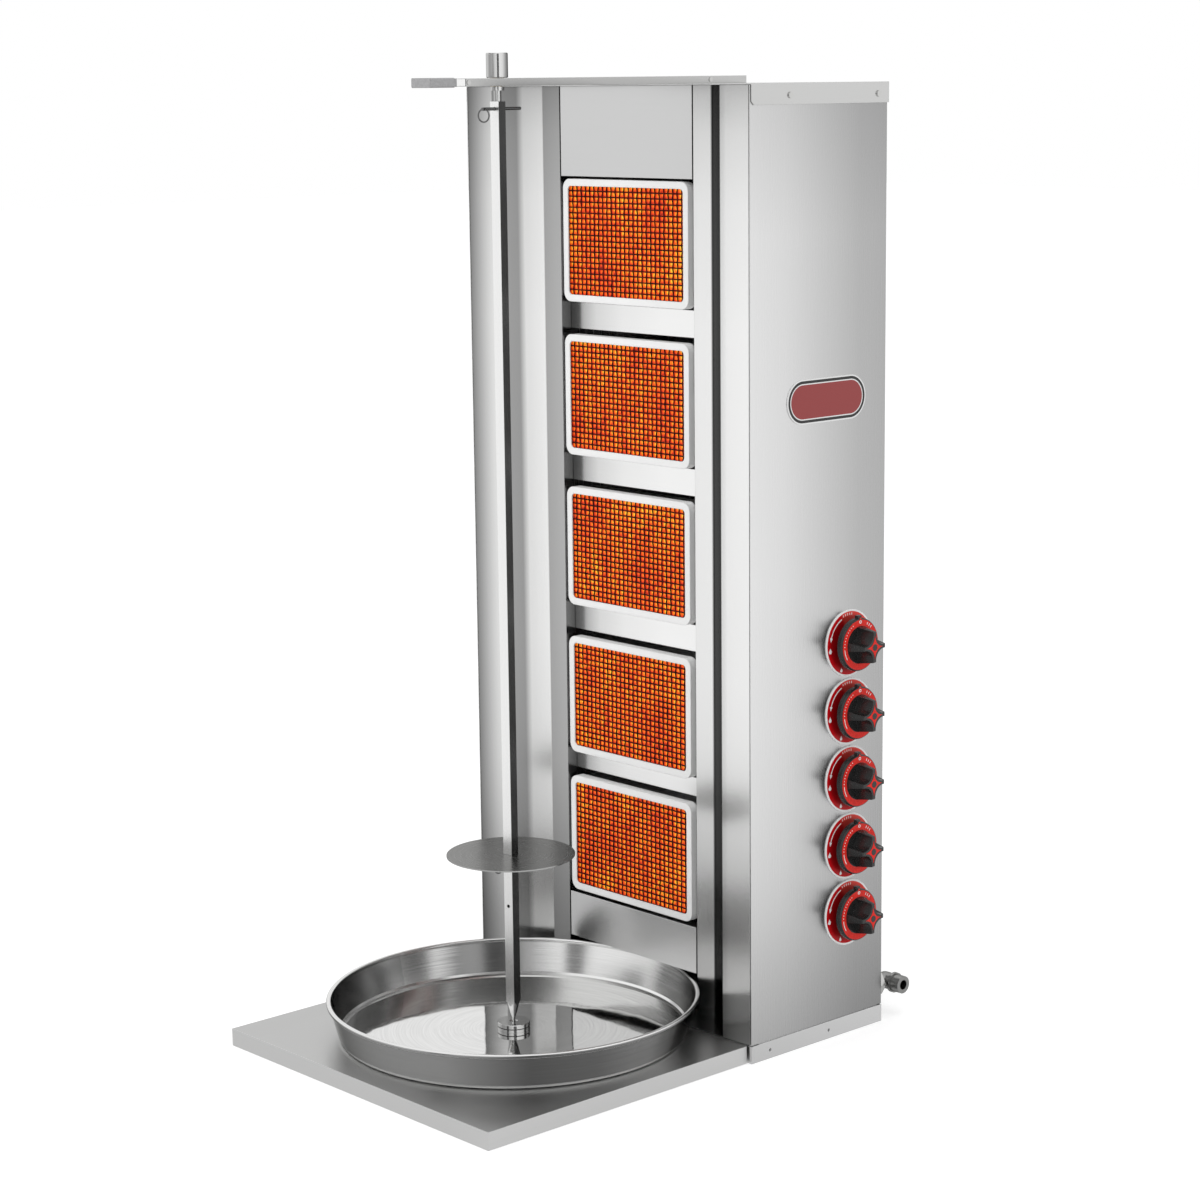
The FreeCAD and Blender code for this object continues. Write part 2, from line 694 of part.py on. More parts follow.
def make_gas_side(tube_y):
    valves = []
    pipes = []
    plates = []
    manifold_y = "(valve_back + valve_width / 2 + manifold_radius - 1)"
    valve_out = "(%s - clearance)" % side_in
    for i in range(burner_count):
        z = valve_height_of(i)
        body = box("%s - valve_length" % valve_out, "valve_back - valve_width / 2", "%s - valve_height / 2" % z,
                   "valve_length", "valve_width", "valve_height")
        seat = rod("%s - valve_inside - plug_length - 0.1" % valve_out, "valve_back", z, "plug_radius + 0.05", "plug_length + 0.2", "x")
        way = rod("%s - valve_length / 2" % valve_out, "valve_back", z, "stem_radius + 0.05", "valve_length", "x")
        outlet = rod("manifold_x - valve_length / 3", "valve_back - plug_radius - lip", z, "pipe_radius + 0.05", "lip", "y")
        valves.append(cut(body, [seat, way, outlet]))
        disc = rod(side_out, "valve_back", z, "dial_radius", "dial_thick", "x")
        plates.append(cut(disc, [rod("%s - 1" % side_out, "valve_back", z, "dial_hole", "4 * dial_thick", "x")]))
        make_stem(i, z, valve_out)
        pipes.append(burner_pipe(i, value_of(tube_y)))
    tower = rod("manifold_x", manifold_y, "inlet_height - manifold_end / 2", "manifold_radius",
                "valve_low + %d * valve_pitch - inlet_height + manifold_end" % (burner_count - 1))
    bores = [box("%s - valve_length - 1" % valve_out, "valve_back - valve_width", "%s - valve_height / 2 - 0.01" % valve_height_of(i),
                 "valve_length + 2", "1.5 * valve_width", "valve_height + 0.02") for i in range(burner_count)]
    inner = rod("manifold_x", manifold_y, "inlet_height - manifold_end / 4", "manifold_radius - 2 * sheet",
                "valve_low + %d * valve_pitch - inlet_height + manifold_end / 2" % (burner_count - 1))
    mouth = rod("manifold_x", manifold_y, "inlet_height", "inlet_radius + 0.05", "2 * manifold_radius", "y")
    part("gas_manifold", cut(tower, bores + [inner, mouth]))
    part("gas_valves", group(valves, "GasValves"))
    part("burner_pipes", group(pipes, "BurnerPipes"))
    part("dial_plates", group(plates, "DialPlates"))
    make_inlet(manifold_y)


def burner_pipe(index, tube_y):
    # From the jet out to the pipe's own column, down it, and across to the valve.
    radius = size("pipe_radius")
    high = value_of(burner_middle(index))
    low = value_of(valve_height_of(index))
    outlet_x = size("manifold_x") - size("valve_length") / 3
    outlet_y = size("valve_back") - size("plug_radius") - 2
    start_x = size("mixer_reach") + size("injector_length") - size("pipe_radius")
    # the columns stand side by side in the room between the jets and the valves, and no bend starts inside a jet
    jet_end = size("mixer_reach") + size("mixer_wall") + size("injector_length")
    first = jet_end + size("pipe_bend") + 1
    last = outlet_x - 2 * size("pipe_bend") - 1
    column = first + (last - first) * (burner_count - 1 - index) / (burner_count - 1)
    points = [Vector(start_x, tube_y, high), Vector(column, tube_y, high), Vector(column, tube_y, low),
              Vector(outlet_x, tube_y, low), Vector(outlet_x, outlet_y, low)]
    return shaped(run(points, radius, size("pipe_bend")), "Pipe")


def make_stem(index, z, valve_out):
    # The plug turns in the valve, and a flat on the stem drives the knob.
    plug = rod("%s - valve_inside - plug_length" % valve_out, "valve_back", z, "plug_radius", "plug_length", "x")
    stem = rod("%s - valve_inside - 1" % valve_out, "valve_back", z, "stem_radius",
               "valve_inside + 1 + clearance + sheet + stem_reach", "x")
    flat = box("%s + skirt_rear" % side_out, "valve_back - stem_radius", "%s + stem_radius - stem_flat" % z,
               "2 * stem_reach", "2 * stem_radius", "2 * stem_flat")
    part("valve_stem_%d" % (index + 1), cut(fuse([plug, stem]), [flat]))


def make_inlet(manifold_y):
    face = "(tower_depth + nut_height + 2 * clearance)"
    start = "(%s + manifold_radius / 2)" % manifold_y
    length = "(%s + elbow_radius / 2 - %s)" % (face, start)
    tube = rod("manifold_x", start, "inlet_height", "inlet_radius", length, "y")
    hollow = rod("manifold_x", "%s" % manifold_y, "inlet_height", "inlet_bore", "2 * %s" % length, "y")
    part("inlet_pipe", cut(tube, [hollow]))
    nut = hexagon("manifold_x", "tower_depth + clearance", "inlet_height", "nut_width", "nut_height", "y")
    part("inlet_nut", cut(nut, [rod("manifold_x", "tower_depth - 1", "inlet_height", "inlet_radius + 0.05", "2 * nut_height", "y")]))
    corner_y = "(%s + elbow_radius + 4)" % face
    neck = rod("manifold_x", face, "inlet_height", "elbow_radius", "elbow_radius + 4", "y")
    ball = doc.addObject("Part::Sphere", "Ball")
    bind(ball, Radius="elbow_radius")
    place(ball, "manifold_x", corner_y, "inlet_height")
    arm = rod("manifold_x", corner_y, "inlet_height", "elbow_radius", "elbow_reach - 10", "x")
    shoulder = rod("manifold_x + elbow_reach - 14", corner_y, "inlet_height", "inlet_thread + 1.6", "4", "x")
    thread = rod("manifold_x + elbow_reach - 10", corner_y, "inlet_height", "inlet_thread", "12", "x")
    bore_x = rod("manifold_x", corner_y, "inlet_height", "inlet_bore", "2 * elbow_reach", "x")
    bore_y = rod("manifold_x", "%s - 1" % face, "inlet_height", "inlet_bore", "elbow_radius + 5", "y")
    socket = rod("manifold_x", "%s - 1" % face, "inlet_height", "inlet_radius + 0.05", "elbow_radius / 2 + 2", "y")
    part("inlet_elbow", cut(fuse([neck, ball, arm, shoulder, thread]), [bore_x, bore_y, socket]))


def make_knobs():
    # A round skirt, and a grip of four wings that are left standing between four scoops.
    rear = "skirt_rear"
    front = "(skirt_rear + skirt_depth)"
    end = "(%s + grip_height)" % front
    for i in range(burner_count):
        z = valve_height_of(i)
        solid = turned([("0", rear), ("skirt_radius - 1", rear), ("skirt_radius", "%s + 1" % rear),
                        ("skirt_radius", "%s - skirt_round" % front), ("skirt_radius - skirt_round / 2", front),
                        ("grip_foot", front), ("grip_radius", "%s - 1" % end), ("grip_radius - 1", end), ("0", end)],
                       side_out, "valve_back", z, along["x"])
        scoops = []
        for angle in (45, 135, 225, 315):
            scoop = doc.addObject("Part::Cone", "Scoop")
            bind(scoop, Radius1="scoop_distance - grip_waist - 2", Radius2="scoop_distance - grip_waist",
                 Height="grip_height + 1")
            place(scoop, "%s + %s" % (side_out, front), "valve_back + %f * scoop_distance" % math.cos(math.radians(angle)),
                  "%s + %f * scoop_distance" % (z, math.sin(math.radians(angle))), along["x"])
            scoops.append(scoop)
        tab = box("%s + %s - skirt_band" % (side_out, front), "valve_back - pointer", "%s + skirt_radius - 2" % z,
                  "skirt_band - skirt_round / 2", "2 * pointer", "pointer + 2")
        bore = rod("%s - 1" % side_out, "valve_back", z, "stem_radius + 0.05", "stem_reach + knob_push + 2", "x")
        key = box("%s + skirt_rear + knob_push" % side_out, "valve_back - stem_radius - 1", "%s + stem_radius - stem_flat + 0.05" % z,
                  "2 * stem_reach", "2 * stem_radius + 2", "2 * stem_flat")
        part("knob_%d" % (i + 1), cut(fuse([cut(solid, scoops), tab]), [cut(bore, [key])]))


def make_badge():
    length = "(badge_length - badge_height)"
    middle = box(side_out, "badge_y - %s / 2" % length, "badge_z - badge_height / 2", "badge_thick", length, "badge_height")
    ends = [rod(side_out, "badge_y + %d * %s / 2" % (side, length), "badge_z", "badge_height / 2", "badge_thick", "x")
            for side in (-1, 1)]
    part("badge_plate", fuse([middle] + ends))


arm_low = "tower_height"
arm_high = "(tower_height + arm_thick)"
axis_y = "-spit_distance"


def make_arm():
    back = "(tower_depth + arm_front)"
    tube = box("-arm_width / 2", "-arm_front", arm_low, "arm_width", back, "arm_thick")
    room = box("-arm_width / 2 + arm_wall", "-arm_front - 1", "%s + arm_wall" % arm_low, "arm_width - 2 * arm_wall",
               "%s + 2" % back, "arm_thick - 2 * arm_wall")
    slot = box("-bush_radius - clearance", "%s - bush_radius - clearance - slide_travel" % axis_y, "%s - 1" % arm_low,
               "2 * (bush_radius + clearance)", "2 * (bush_radius + clearance) + slide_travel", "arm_thick + 2")
    spots = [("-arm_front + 4", "front"), ("arm_screw_back", "back")]
    holes = [rod("-arm_width", y, "%s + arm_thick / 2" % arm_low, "screw_radius", "2 * arm_width", "x") for y, end in spots]
    part("arm_channel", cut(tube, [room, slot] + holes))
    screws = []
    for side in (-1, 1):
        for y, end in spots:
            head = "arm_width / 2" if side == 1 else "-arm_width / 2 - screw_head_thick / 2"
            shank = "arm_width / 2 - arm_wall" if side == 1 else "-arm_width / 2 - screw_head_thick / 4"
            screws.append(fuse([rod(head, y, "%s + arm_thick / 2" % arm_low, "screw_head - 0.8", "screw_head_thick / 2", "x"),
                                rod(shank, y, "%s + arm_thick / 2" % arm_low, "screw_radius - 0.05",
                                    "arm_wall + screw_head_thick / 4", "x")]))
    part("arm_screws", group(screws, "ArmScrews"))
    bar_low = "(%s + arm_wall + slider_fit)" % arm_low
    bar_thick = "(arm_thick - 2 * arm_wall - 2 * slider_fit)"
    bar_half = "(arm_width / 2 - arm_wall - slider_fit)"
    bar = box("-" + bar_half, "-arm_front - slider_step", bar_low, "2 * " + bar_half,
              "arm_front + slider_step - spit_distance + slider_back", bar_thick)
    nose = box("-arm_width / 2 + 0.6", "-arm_front - slider_step", "%s + 0.5" % arm_low, "arm_width - 1.2",
               "slider_step - clearance", "arm_thick - 1")
    part("arm_slider", cut(fuse([bar, nose]), [rod("0", axis_y, "%s - 5" % bar_low, "bush_radius", "20")]))
    grip_half = "(arm_width / 2 + (handle_thick - arm_thick) / 2)"
    collar = box("-%s + 0.8" % grip_half, "-arm_front - slider_step - collar_length", "%s - 0.2" % arm_low,
                 "2 * %s - 1.6" % grip_half, "collar_length", "arm_thick + 0.4")
    corners = [("-" + grip_half, "%s - (handle_thick - arm_thick) / 2" % arm_low),
               (grip_half, "%s - (handle_thick - arm_thick) / 2" % arm_low),
               (grip_half, "%s + (handle_thick - arm_thick) / 2" % arm_high),
               ("-" + grip_half, "%s + (handle_thick - arm_thick) / 2" % arm_high)]
    grip = padded(corners, "handle_length", "XZ_Plane", y="-arm_front - slider_step - collar_length - handle_length + 0.5")
    rounded(grip, "1.6", Vector(0, 1, 0))
    part("arm_handle", fuse([collar, grip]))
    bush = cut(fuse([rod("0", axis_y, "%s - 0.2" % arm_low, "bush_radius", "arm_thick + 0.4")]),
               [rod("0", axis_y, "%s - 2" % arm_low, "shaft_radius + shaft_fit", "arm_thick + 4")])
    part("pivot_bush", bush)


def turned_about_spit(thing):
    # The spit's own pieces are built square to it at the origin and then turned and moved to its axis.
    thing.Placement = FreeCAD.Placement(Vector(), Rotation(Vector(0, 0, 1), size("spit_turned")))
    bind(thing, Placement__Base__y=axis_y)
    return thing


def pull_pin(z_text, sink):
    # A straight pin along the spit's own front-to-back line, with a split ring hanging from its front end.
    z = value_of(z_text)
    radius = size("pin_radius")
    front = size("pin_front")
    pin = Part.makeCylinder(radius, front + size("pin_back"), Vector(0, -front, z), Vector(0, 1, 0))
    pin = pin.fuse(Part.makeSphere(radius, Vector(0, size("pin_back"), z)))
    wire = size("ring_wire")
    big = size("ring_radius")
    eye_y = -front + 2.2
    eye = Part.makeCylinder(wire + 0.35, 4 * radius, Vector(-2 * radius, eye_y, z), Vector(1, 0, 0))
    pin = pin.cut(eye)
    # the ring's wire goes through the eye, and the ring hangs below it
    centre = Vector(0, eye_y, z - big)
    ring = Part.makeTorus(big, wire, centre, Vector(0, 1, 0))
    ring.rotate(Vector(0, eye_y, z), Vector(0, 0, 1), sink)
    return pin, ring


def make_spit():
    top = "spit_top"
    side = "spit_side"
    bar = box("-spit_side / 2", "-spit_side / 2", "point_start", side, side, "spit_top - point_start")
    floor = "(base_height + pan_wall)"
    cup_top = "(%s + race_height + ball_radius + cup_height)" % floor
    tip_low = "(%s - point_sink)" % cup_top
    point = turned([("0", tip_low), ("point_radius / 2", tip_low), ("point_radius", "%s + point_radius" % tip_low), ("point_radius", "%s + 4" % cup_top),
                    ("spit_side / 3", "%s + 11" % cup_top), ("spit_side * 0.72", "point_start + 6"), ("0", "point_start + 6")])
    square = box("-spit_side / 2", "-spit_side / 2", "0", side, side, "spit_top")
    common = doc.addObject("Part::Common", "Point")
    common.Base = point
    common.Tool = square
    holes = [rod("0", "-spit_side", z, "pin_hole", "2 * spit_side", "y")
             for z in ("spit_top - pin_below_top", "plate_height - pin_hole - clearance / 5",
                       "plate_height - lower_hole_drop")]
    socket = rod("0", "0", "spit_top - socket_depth", "neck_radius + shaft_fit", "socket_depth + 1")
    spit = cut(fuse([bar, common]), holes + [socket])
    part("spit", turned_about_spit(spit))

    # shaft: through the bush, a collar under the arm, and a neck pinned in the spit's top
    shaft_top = "(%s + clearance + knob_height - knob_bore_depth - 1)" % arm_high
    shaft = turned([("0", "spit_top - socket_depth + 1"), ("neck_radius", "spit_top - socket_depth + 1"),
                    ("neck_radius", "tower_height - clearance - collar_height"),
                    ("collar_radius", "tower_height - clearance - collar_height"),
                    ("collar_radius", "tower_height - 2 * clearance"), ("shaft_radius", "tower_height - 2 * clearance"),
                    ("shaft_radius", shaft_top), ("0", shaft_top)])
    cross = rod("0", "-spit_side", "spit_top - pin_below_top", "pin_hole", "2 * spit_side", "y")
    part("pivot_shaft", turned_about_spit(cut(shaft, [cross])))
    knob_low = "(%s + clearance)" % arm_high
    knob_top = "(%s + knob_height)" % knob_low
    knob = turned([("0", knob_low), ("knob_radius - 0.8", knob_low), ("knob_radius", "%s + 0.8" % knob_low),
                   ("knob_radius", "%s - 0.8" % knob_top), ("knob_radius - 0.8", knob_top), ("0", knob_top)])
    bore = rod("0", "0", "%s - knob_bore_depth" % knob_top, "knob_bore", "knob_bore_depth + 1")
    seat = rod("0", "0", "%s - 1" % knob_low, "shaft_radius + shaft_fit / 5", "knob_height - knob_bore_depth")
    saddle = rod("0", "-knob_radius - 1", "%s + 15" % knob_top, "16.6", "2 * knob_radius + 2", "y")
    part("pivot_knob", turned_about_spit(cut(knob, [bore, seat, saddle])))

    plate = cut(rod("0", "0", "plate_height", "plate_radius", "plate_thick"),
                [box("-spit_side / 2 - plate_fit", "-spit_side / 2 - plate_fit", "plate_height - 1",
                     "spit_side + 2 * plate_fit", "spit_side + 2 * plate_fit", "plate_thick + 2")])
    part("meat_plate", turned_about_spit(plate))
    for label, z, lean in (("spit_pin", "spit_top - pin_below_top", 5.0),
                           ("plate_pin", "plate_height - pin_hole - clearance / 5", -5.0)):
        pin, ring = pull_pin(z, lean)
        holder = shaped(Part.makeCompound([pin, ring]), "PullPin")
        part(label, turned_about_spit(holder))


def make_pan():
    floor = "base_height"
    rim_z = "(base_height + pan_depth)"
    rim_r = "(pan_radius + pan_flare)"
    corners = [("0", floor), ("pan_radius - pan_corner", floor), ("pan_radius - pan_corner * 0.3", "%s + pan_corner * 0.3" % floor),
               ("pan_radius + 0.6", "%s + pan_corner" % floor), (rim_r, "%s + rim_radius * 0.5" % rim_z),
               ("%s - pan_wall" % rim_r, "%s + rim_radius * 0.5" % rim_z), ("pan_radius + 0.6 - pan_wall", "%s + pan_corner" % floor),
               ("pan_radius - pan_corner * 0.3 - pan_wall * 0.7", "%s + pan_corner * 0.3 + pan_wall * 0.7" % floor),
               ("pan_radius - pan_corner - pan_wall * 0.4", "%s + pan_wall" % floor), ("0", "%s + pan_wall" % floor)]
    dish = turned(corners, "0", axis_y, "0")
    bead = doc.addObject("Part::Torus", "Bead")
    bind(bead, Radius1=rim_r, Radius2="rim_radius")
    place(bead, "0", axis_y, rim_z)
    part("pan", fuse([dish, bead]))

    deck_z = "(base_height + pan_wall)"
    race_top = "(%s + race_height)" % deck_z
    cup_low = "(%s + ball_radius)" % race_top
    cup_top = "(%s + cup_height)" % cup_low
    groove = "(ball_radius + 0.05)"
    race = cut(rod("0", axis_y, deck_z, "bearing_radius", "race_height"), [ring_groove(race_top, "ball_radius / 2")])
    part("bearing_race", race)
    cup = turned([("0", cup_low), ("bearing_radius", cup_low), ("bearing_radius", "%s - 0.6" % cup_top),
                  ("bearing_radius - 0.6", cup_top), ("point_radius + 3", cup_top), ("point_radius + 1.8", "%s - 1" % cup_top),
                  ("point_radius + clearance", "%s - 1" % cup_top), ("point_radius + clearance", "%s - point_sink" % cup_top),
                  ("0", "%s - point_sink" % cup_top)],
                 "0", axis_y)
    part("bearing_cup", cut(cup, [ring_groove(cup_low, "-ball_radius / 2")]))
    balls = []
    for k in range(int(size("ball_count"))):
        angle = 2 * math.pi * k / int(size("ball_count"))
        ball = doc.addObject("Part::Sphere", "Ball")
        bind(ball, Radius="ball_radius")
        place(ball, "%f * ball_circle" % math.cos(angle), "%s + %f * ball_circle" % (axis_y, math.sin(angle)),
              "%s + ball_radius / 2" % race_top)
        balls.append(ball)
    part("bearing_balls", group(balls, "Balls"))


def ring_groove(z, rise):
    ring = doc.addObject("Part::Torus", "Groove")
    bind(ring, Radius1="ball_circle", Radius2="ball_radius + 0.05")
    return place(ring, "0", axis_y, "%s + %s" % (z, rise))


make_base_and_tray()
make_side_panels()
case_screws = make_back_panel()
case_screws += make_cover()
part("case_screws", group(case_screws, "CaseScrews"))
make_wings()
make_front_panels()
jet_line = make_burners()
make_gas_side(jet_line)
make_knobs()
make_badge()
make_arm()
make_spit()
make_pan()

doc.recompute()
failed = [thing.Label for thing in doc.Objects if "Invalid" in thing.State or "Error" in thing.State]
if failed:
    raise SystemExit("failed features: " + ", ".join(failed))
for thing in parts:
    if thing.Shape.isNull() or not thing.Shape.isValid() or not thing.Shape.Solids:
        raise SystemExit("bad shape: " + thing.Label)
os.makedirs("parts", exist_ok=True)
for thing in parts:
    thing.Shape.exportStep("parts/" + thing.Label + ".step")
    bounds = thing.Shape.optimalBoundingBox(False)
    print("%-20s %2d solids  %9.0f mm3  X %7.1f %7.1f  Y %7.1f %7.1f  Z %7.1f %7.1f" % (
        thing.Label, len(thing.Shape.Solids), thing.Shape.Volume, bounds.XMin, bounds.XMax, bounds.YMin, bounds.YMax,
        bounds.ZMin, bounds.ZMax))
print(len(parts), "sub-parts")
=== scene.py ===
import math

import bmesh
import bpy
from mathutils import Matrix, Vector


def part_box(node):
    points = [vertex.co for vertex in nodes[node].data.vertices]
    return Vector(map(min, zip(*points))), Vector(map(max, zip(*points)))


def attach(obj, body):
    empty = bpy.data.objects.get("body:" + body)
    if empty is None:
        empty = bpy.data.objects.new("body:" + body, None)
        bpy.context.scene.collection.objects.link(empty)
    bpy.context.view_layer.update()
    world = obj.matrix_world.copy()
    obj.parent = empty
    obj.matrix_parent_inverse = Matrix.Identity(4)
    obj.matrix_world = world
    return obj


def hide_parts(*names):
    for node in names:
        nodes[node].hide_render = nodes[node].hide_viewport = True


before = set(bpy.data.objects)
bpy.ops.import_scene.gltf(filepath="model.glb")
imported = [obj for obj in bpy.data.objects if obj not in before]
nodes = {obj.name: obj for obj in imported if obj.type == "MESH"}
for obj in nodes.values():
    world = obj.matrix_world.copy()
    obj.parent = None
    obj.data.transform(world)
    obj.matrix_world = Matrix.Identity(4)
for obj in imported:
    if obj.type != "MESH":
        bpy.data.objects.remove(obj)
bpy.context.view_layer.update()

scene = bpy.context.scene
scene.view_settings.view_transform = "Standard"
spitAxis = (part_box("pan")[0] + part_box("pan")[1]) / 2


# Helpers for node trees and meshes

def addNode(tree, kind, **settings):
    # a setting is the value of an input, a link to it, or an option of the node; _ stands for a space
    node = tree.nodes.new(kind)
    for key, value in settings.items():
        label = key.replace("_", " ")
        if label not in node.inputs.keys():
            setattr(node, key, value)
        elif hasattr(value, "is_output"):
            tree.links.new(value, node.inputs[label])
        else:
            node.inputs[label].default_value = value
    return node


def join(tree, source, target):
    tree.links.new(source, target)


def calc(tree, operation, a, b=None, c=None, clamp=False):
    node = addNode(tree, "ShaderNodeMath", operation=operation, use_clamp=clamp)
    for slot, value in zip(node.inputs, (a, b, c)):
        if value is None:
            continue
        if isinstance(value, (int, float)):
            slot.default_value = value
        else:
            tree.links.new(value, slot)
    return node.outputs[0]


def hypotenuse(tree, a, b):
    return calc(tree, "SQRT", calc(tree, "ADD", calc(tree, "MULTIPLY", a, a), calc(tree, "MULTIPLY", b, b)))


def spanShare(tree, value, start, stop):
    # 0 up to start, 1 from stop on
    return calc(tree, "DIVIDE", calc(tree, "SUBTRACT", value, start), stop - start, clamp=True)


def newMaterial(name, metallic=0.0):
    material = bpy.data.materials.new(name)
    material.use_nodes = True
    tree = material.node_tree
    shader = tree.nodes["Principled BSDF"]
    shader.inputs["Metallic"].default_value = metallic
    return material, tree, shader


def splitAxes(tree, source):
    split = tree.nodes.new("ShaderNodeSeparateXYZ")
    join(tree, source, split.inputs[0])
    return split.outputs


def objectAxes(tree):
    return splitAxes(tree, tree.nodes.new("ShaderNodeTexCoord").outputs["Object"])


def faceAxes(tree):
    # the way that a face looks
    return splitAxes(tree, tree.nodes.new("ShaderNodeNewGeometry").outputs["Normal"])


def ramp(tree, source, stops, mode="LINEAR"):
    node = tree.nodes.new("ShaderNodeValToRGB")
    node.color_ramp.interpolation = mode
    elements = node.color_ramp.elements
    while len(elements) < len(stops):
        elements.new(0.5)
    for element, (place, color) in zip(elements, stops):
        element.position = place
        if isinstance(color, (int, float)):
            color = (color, color, color)
        element.color = (*color, 1)
    join(tree, source, node.inputs["Fac"])
    return node.outputs["Color"]


def mixed(tree, kind, factor, first, second):
    node = addNode(tree, "ShaderNodeMix", data_type="RGBA", blend_type=kind)
    for slot, value in ((0, factor), (6, first), (7, second)):
        if isinstance(value, (int, float)):
            node.inputs[slot].default_value = value
        elif isinstance(value, tuple):
            node.inputs[slot].default_value = (*value, 1)
        else:
            join(tree, value, node.inputs[slot])
    return node.outputs[2]


def noise(tree, place, detail, roughness=0.5):
    # place: how densely the noise lies along X, Y and Z, or a vector to use instead
    if isinstance(place, tuple):
        coords = tree.nodes.new("ShaderNodeTexCoord")
        place = addNode(tree, "ShaderNodeMapping", Vector=coords.outputs["Object"], Scale=place).outputs["Vector"]
    node = addNode(tree, "ShaderNodeTexNoise", Vector=place, Scale=1.0, Detail=detail, Roughness=roughness)
    return node.outputs["Fac"]


def roughen(tree, shader, source, low, spread):
    join(tree, calc(tree, "MULTIPLY_ADD", source, spread, low), shader.inputs["Roughness"])


def paintMetal(tree, shader, tint):
    for label in ("Base Color", "Specular Tint"):
        join(tree, tint, shader.inputs[label])


def bump(tree, shader, heights, distance=1.0, edge=0.0):
    node = addNode(tree, "ShaderNodeBump", Strength=1.0, Distance=distance, Height=heights)
    if edge:
        soft = addNode(tree, "ShaderNodeBevel", Radius=edge, samples=4)
        join(tree, soft.outputs["Normal"], node.inputs["Normal"])
    join(tree, node.outputs["Normal"], shader.inputs["Normal"])


def fromMesh(name, build):
    mesh = bpy.data.meshes.new(name)
    bm = bmesh.new()
    build(bm)
    bm.to_mesh(mesh)
    bm.free()
    piece = bpy.data.objects.new(name, mesh)
    scene.collection.objects.link(piece)
    return piece


# Brushed steel sheets

steelLooks = {
    # painted light: the sheets are one steel, and their colours differ as lit and shaded copies of it, set to how
    # bright each sheet looks
    "panel": (0.80, 0.80, 0.80),
    "bright": (0.90, 0.90, 0.895),
    "front": (0.62, 0.62, 0.62),
    "bottom": (0.73, 0.73, 0.73),
    "tray": (0.84, 0.84, 0.835),
    "cover": (0.61, 0.61, 0.605),
    "arm": (0.54, 0.54, 0.535),
    "paintedTrayTopShade": 0.75,            # painted shade: how bright its top is painted beside its edges
    "frontRoughness": 0.20,
    "fold": 0.0007,             # radius of a folded edge
    "rim": 0.0003,
    "frontHalf": 0.11,          # the front sheets reach this far from the middle
    "frontBow": 0.0010,         # and stand proud by this much
    "bottomBow": 0.0016,
    "cloud": (5, 5, 3),
    "cloudShare": 0.2,
}


def steel(name, grain, color, roughness, contrast=0.012, spread=0.03, depth=0.000002, paintedLight=(), bow=0.0,
          edge=0.0, top=1.0):
    # grain: how densely the brushing lines lie along each axis, so a small number is the brushing's direction
    # the painted light argument: reflections and shade painted across the sheet, as (axis, from, to, stops in that
    # span)
    looks = steelLooks
    material, tree, shader = newMaterial(name, 1.0)
    lines = noise(tree, grain, 4.0, 0.6)
    cloudy = noise(tree, looks["cloud"], 2.0)
    tone = calc(tree, "ADD", calc(tree, "MULTIPLY", lines, 1 - looks["cloudShare"]),
                calc(tree, "MULTIPLY", cloudy, looks["cloudShare"]))
    low = tuple(c * (1 - contrast) for c in color)
    high = tuple(min(1, c * (1 + contrast)) for c in color)
    tint = ramp(tree, tone, [(0.3, low), (0.7, high)])
    axes = objectAxes(tree)
    # painted reflections and shade, multiplied in along each axis
    for axis, start, stop, stops in paintedLight:
        along = spanShare(tree, axes["XYZ".index(axis)], start, stop)
        tint = mixed(tree, "MULTIPLY", 1.0, tint, ramp(tree, along, stops))
    if top < 1:
        # painted shade: the flat top is painted darker than the edges folded down from it
        tint = mixed(tree, "MULTIPLY", calc(tree, "GREATER_THAN", faceAxes(tree)[2], 0.5), tint, (top, top, top))
    paintMetal(tree, shader, tint)
    roughen(tree, shader, lines, roughness - spread / 2, spread)
    height = calc(tree, "MULTIPLY", lines, depth)
    if bow:
        # a sheet between two folds stands a little proud in its middle
        along = spanShare(tree, axes[0], -looks["frontHalf"], looks["frontHalf"])
        swell = calc(tree, "MULTIPLY", along, calc(tree, "SUBTRACT", 1.0, along))
        height = calc(tree, "ADD", height, calc(tree, "MULTIPLY", swell, 4 * bow))
    bump(tree, shader, height, edge=edge)
    return material


# Painted reflections and shade on the big sheets, in metres along an axis: the side from front to back, the front
# strips from their outer edge to the pillar beside the burners, and both from the foot to the cover
spans = {
    "rise": (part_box("tower_base")[0].z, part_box("top_cover")[1].z),
    "depth": 0.219,
    "outer": 0.2345,
    "inner": 0.112,
}
sidePaintedLight = [
    ("Y", 0.0, spans["depth"], [(0.0, 1.0), (0.25, 0.92), (0.5, 0.78), (0.8, 0.62), (1.0, 0.58)]),
    ("Z", *spans["rise"], [(0.0, 0.76), (0.35, 0.97), (0.5, 1.0), (0.85, 0.97), (1.0, 0.80)]),
]
# painted shade towards the foot and the top of the wings
wingPaintedShade = ("Z", *spans["rise"], [(0.0, 0.50), (0.1, 0.72), (0.2, 0.87), (0.4, 0.97), (0.75, 1.0), (0.88, 0.93),
                                  (0.95, 0.80), (1.0, 0.60)])
leftPaintedLight = [
    ("X", -spans["outer"], -spans["inner"], [
        (0.0, 0.28), (0.12, 0.50), (0.25, 0.74), (0.35, 0.90), (0.362, 0.44), (0.55, 0.38), (0.60, 0.86),
        (0.752, 1.0), (0.762, 0.46), (1.0, 0.52)]),
    wingPaintedShade,
]
rightPaintedLight = [
    ("X", spans["inner"], spans["outer"], [
        (0.0, 0.94), (0.22, 0.98), (0.238, 0.20), (0.64, 0.10), (0.648, 0.84), (0.72, 1.0), (1.0, 1.0)]),
    wingPaintedShade,
]
spacerPaintedLight = [
    ("X", -spans["inner"], spans["inner"], [(0.0, 0.24), (0.08, 0.48), (0.2, 0.78), (0.4, 0.93), (0.7, 1.0)]),
]

